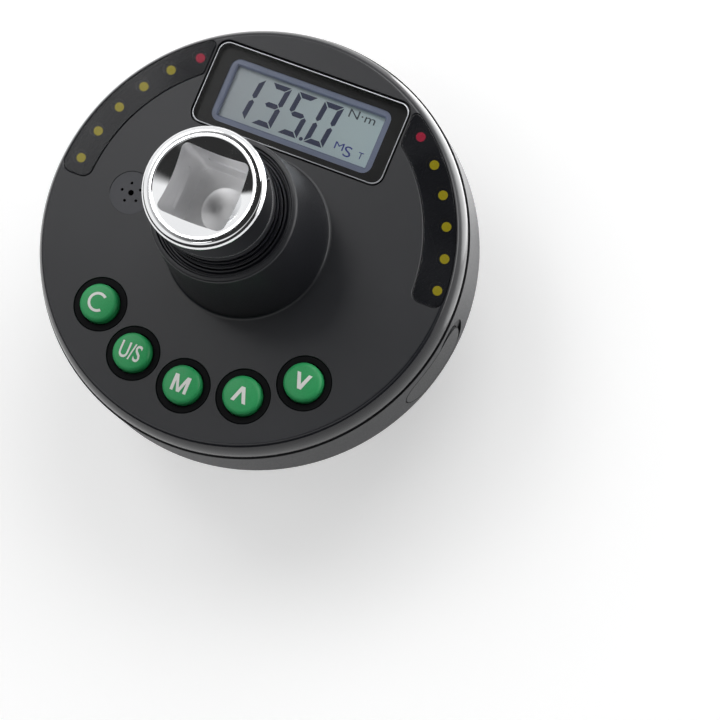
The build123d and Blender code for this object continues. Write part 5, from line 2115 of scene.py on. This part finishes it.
@dataclass
class Studio:
    """Pale floor, soft lights and the camera at the photograph's viewing angle."""

    camera_place: tuple[float, float, float] = (129.1105, -64.6246, 461.9026)
    camera_turn: tuple[float, float, float] = (11.36979, 9.84604, 22.80426)
    lens: float = 119.468
    sensor: float = 36.0
    clip: tuple[float, float] = (0.01, 20.0)
    floor_size: float = 4000.0
    floor_colour: str = "#f2f2f2"
    floor_lift: float = 0.3
    world_level: float = 1.0
    glows: tuple[Glow, ...] = (
        Glow((0.12, 0.14, 0.98), 22, 34, 0.03),
        Glow((0.36, 0.40, 0.84), 10, 18, 0.03),
        Glow((0.26, -0.96, 0.0), 66, 72, 0.03, 2.3),
        Glow((0.95, -0.3, 0.0), 66, 72, 0.03, 2.2),
        Glow((-0.6, -0.8, 0.0), 54, 58, 0.03, 3.0),
        Glow((0.82, 0.56, 0.12), 18, 38, 3.6, 1.5),
    )
    panels: tuple[Panel, ...] = (
        Panel("key_panel", (-750, 540, 1260), (600, 600), 2.0),
        Panel("floor_card", (62, 72, 1), (110, 80), 2.5, (62, 72, 100)),
        Panel("side_card", (76, 24, 1), (56, 44), 1.0, (76, 24, 100)),
        Panel("back_panel", (40, 300, 430), (330, 260), 2.2),
        Panel("rim_card", (-115, 58, 420), (54, 54), 3.2, (0, 0, 78)),
        Panel("cone_card", (-65, -54, 420), (44, 44), 2.0, (0, 0, 78)),
        Panel("left_card", (-205, 88, 420), (80, 90), 0.6),
    )

    def set_camera(self) -> None:
        """Camera with the photograph's place, turn and field of view."""
        data = bpy.data.cameras.new("view")
        data.sensor_fit = "HORIZONTAL"
        data.sensor_width = self.sensor
        data.lens = self.lens
        data.clip_start, data.clip_end = self.clip
        camera = bpy.data.objects.new("view", data)
        camera.location = Vector(self.camera_place) * MM
        camera.rotation_euler = Euler([math.radians(angle) for angle in self.camera_turn])
        bpy.context.scene.collection.objects.link(camera)
        bpy.context.scene.camera = camera

    def lay_floor(self) -> None:
        """Pale floor that keeps the shadow and shows white where it is fully lit."""
        bpy.ops.mesh.primitive_plane_add(size=self.floor_size * MM)
        floor = bpy.context.object
        floor.name = "studio_floor"
        material = bpy.data.materials.new("pale_floor")
        material.use_nodes = True
        tree = material.node_tree
        tree.nodes.clear()
        matt = add(tree, "ShaderNodeBsdfDiffuse", {"Color": linear(self.floor_colour)})
        path = add(tree, "ShaderNodeLightPath")
        seen = add(
            tree, "ShaderNodeMath", {"operation": "MAXIMUM"},
            {0: path.outputs["Is Camera Ray"], 1: path.outputs["Is Glossy Ray"]},
        )
        lift = add(
            tree, "ShaderNodeMath", {"operation": "MULTIPLY", 1: self.floor_lift}, {0: seen.outputs["Value"]}
        )
        glow = add(tree, "ShaderNodeEmission", {"Color": (1, 1, 1, 1)}, {"Strength": lift.outputs["Value"]})
        total = add(tree, "ShaderNodeAddShader", links={0: matt.outputs["BSDF"], 1: glow.outputs["Emission"]})
        add(tree, "ShaderNodeOutputMaterial", links={"Surface": total.outputs["Shader"]})
        floor.data.materials.append(material)

    def set_world(self) -> None:
        """Grey surroundings with a bright side, a dark side and a dim top, and a white backdrop."""
        world = bpy.data.worlds.new("studio")
        bpy.context.scene.world = world
        world.use_nodes = True
        tree = world.node_tree
        tree.nodes.clear()
        way = add(tree, "ShaderNodeTexCoord").outputs["Generated"]
        level = add(tree, "ShaderNodeValue").outputs["Value"]
        level.default_value = self.world_level
        for glow in self.glows:
            towards = Vector(glow.towards).normalized()
            squashed = add(
                tree, "ShaderNodeVectorMath", {"operation": "MULTIPLY", 1: (1, 1, glow.flatness)}, {0: way}
            )
            flat = squashed.outputs["Vector"]
            unit = add(tree, "ShaderNodeVectorMath", {"operation": "NORMALIZE"}, {0: flat})
            along = add(
                tree, "ShaderNodeVectorMath", {"operation": "DOT_PRODUCT", 1: towards},
                {0: unit.outputs["Vector"]},
            )
            settings = {
                "interpolation_type": "SMOOTHSTEP",
                "From Min": math.cos(math.radians(glow.outer)),
                "From Max": math.cos(math.radians(glow.inner)),
            }
            share = add(tree, "ShaderNodeMapRange", settings, {"Value": along.outputs["Value"]})
            blend = add(
                tree, "ShaderNodeMapRange", {"To Max": glow.level},
                {"Value": share.outputs["Result"], "To Min": level},
            )
            level = blend.outputs["Result"]
        path = add(tree, "ShaderNodeLightPath")
        shown = add(
            tree, "ShaderNodeMapRange", {"To Max": 1.0},
            {"Value": path.outputs["Is Camera Ray"], "To Min": level},
        )
        strength = {"Strength": shown.outputs["Result"]}
        light = add(tree, "ShaderNodeBackground", {"Color": (1, 1, 1, 1)}, strength)
        add(tree, "ShaderNodeOutputWorld", links={"Surface": light.outputs["Background"]})

    def hang(self, panel: Panel) -> None:
        """Hang a soft panel light that the camera doesn't see.

        Args:
            panel: the panel to hang.
        """
        data = bpy.data.lights.new(panel.name, "AREA")
        data.shape = "ELLIPSE"
        data.size = panel.size[0] * MM
        data.size_y = panel.size[1] * MM
        data.energy = panel.brightness * math.pi * data.size * data.size_y
        lamp = bpy.data.objects.new(panel.name, data)
        lamp.location = Vector(panel.place) * MM
        lamp.visible_camera = False
        way = Vector(panel.aim) * MM - lamp.location
        lamp.rotation_euler = way.to_track_quat("-Z", "Y").to_euler()
        bpy.context.scene.collection.objects.link(lamp)

    def build(self) -> None:
        """Set the camera, the floor and the lights."""
        self.set_camera()
        self.lay_floor()
        self.set_world()
        for panel in self.panels:
            self.hang(panel)
        bpy.context.scene.view_settings.view_transform = "Standard"


def main() -> None:
    """Build the studio and every part of the object, in order."""
    logging.basicConfig(level=logging.INFO, format="%(message)s")
    Studio().build()
    display, lamps, keypad = Display(), LampRows(), Keypad()
    DriveShaft().build()
    Lid(display, lamps, keypad).build()
    display.build()
    lamps.build()
    keypad.build()
    Underside().build()
    Innards().dress()


if __name__ == "__main__":
    main()
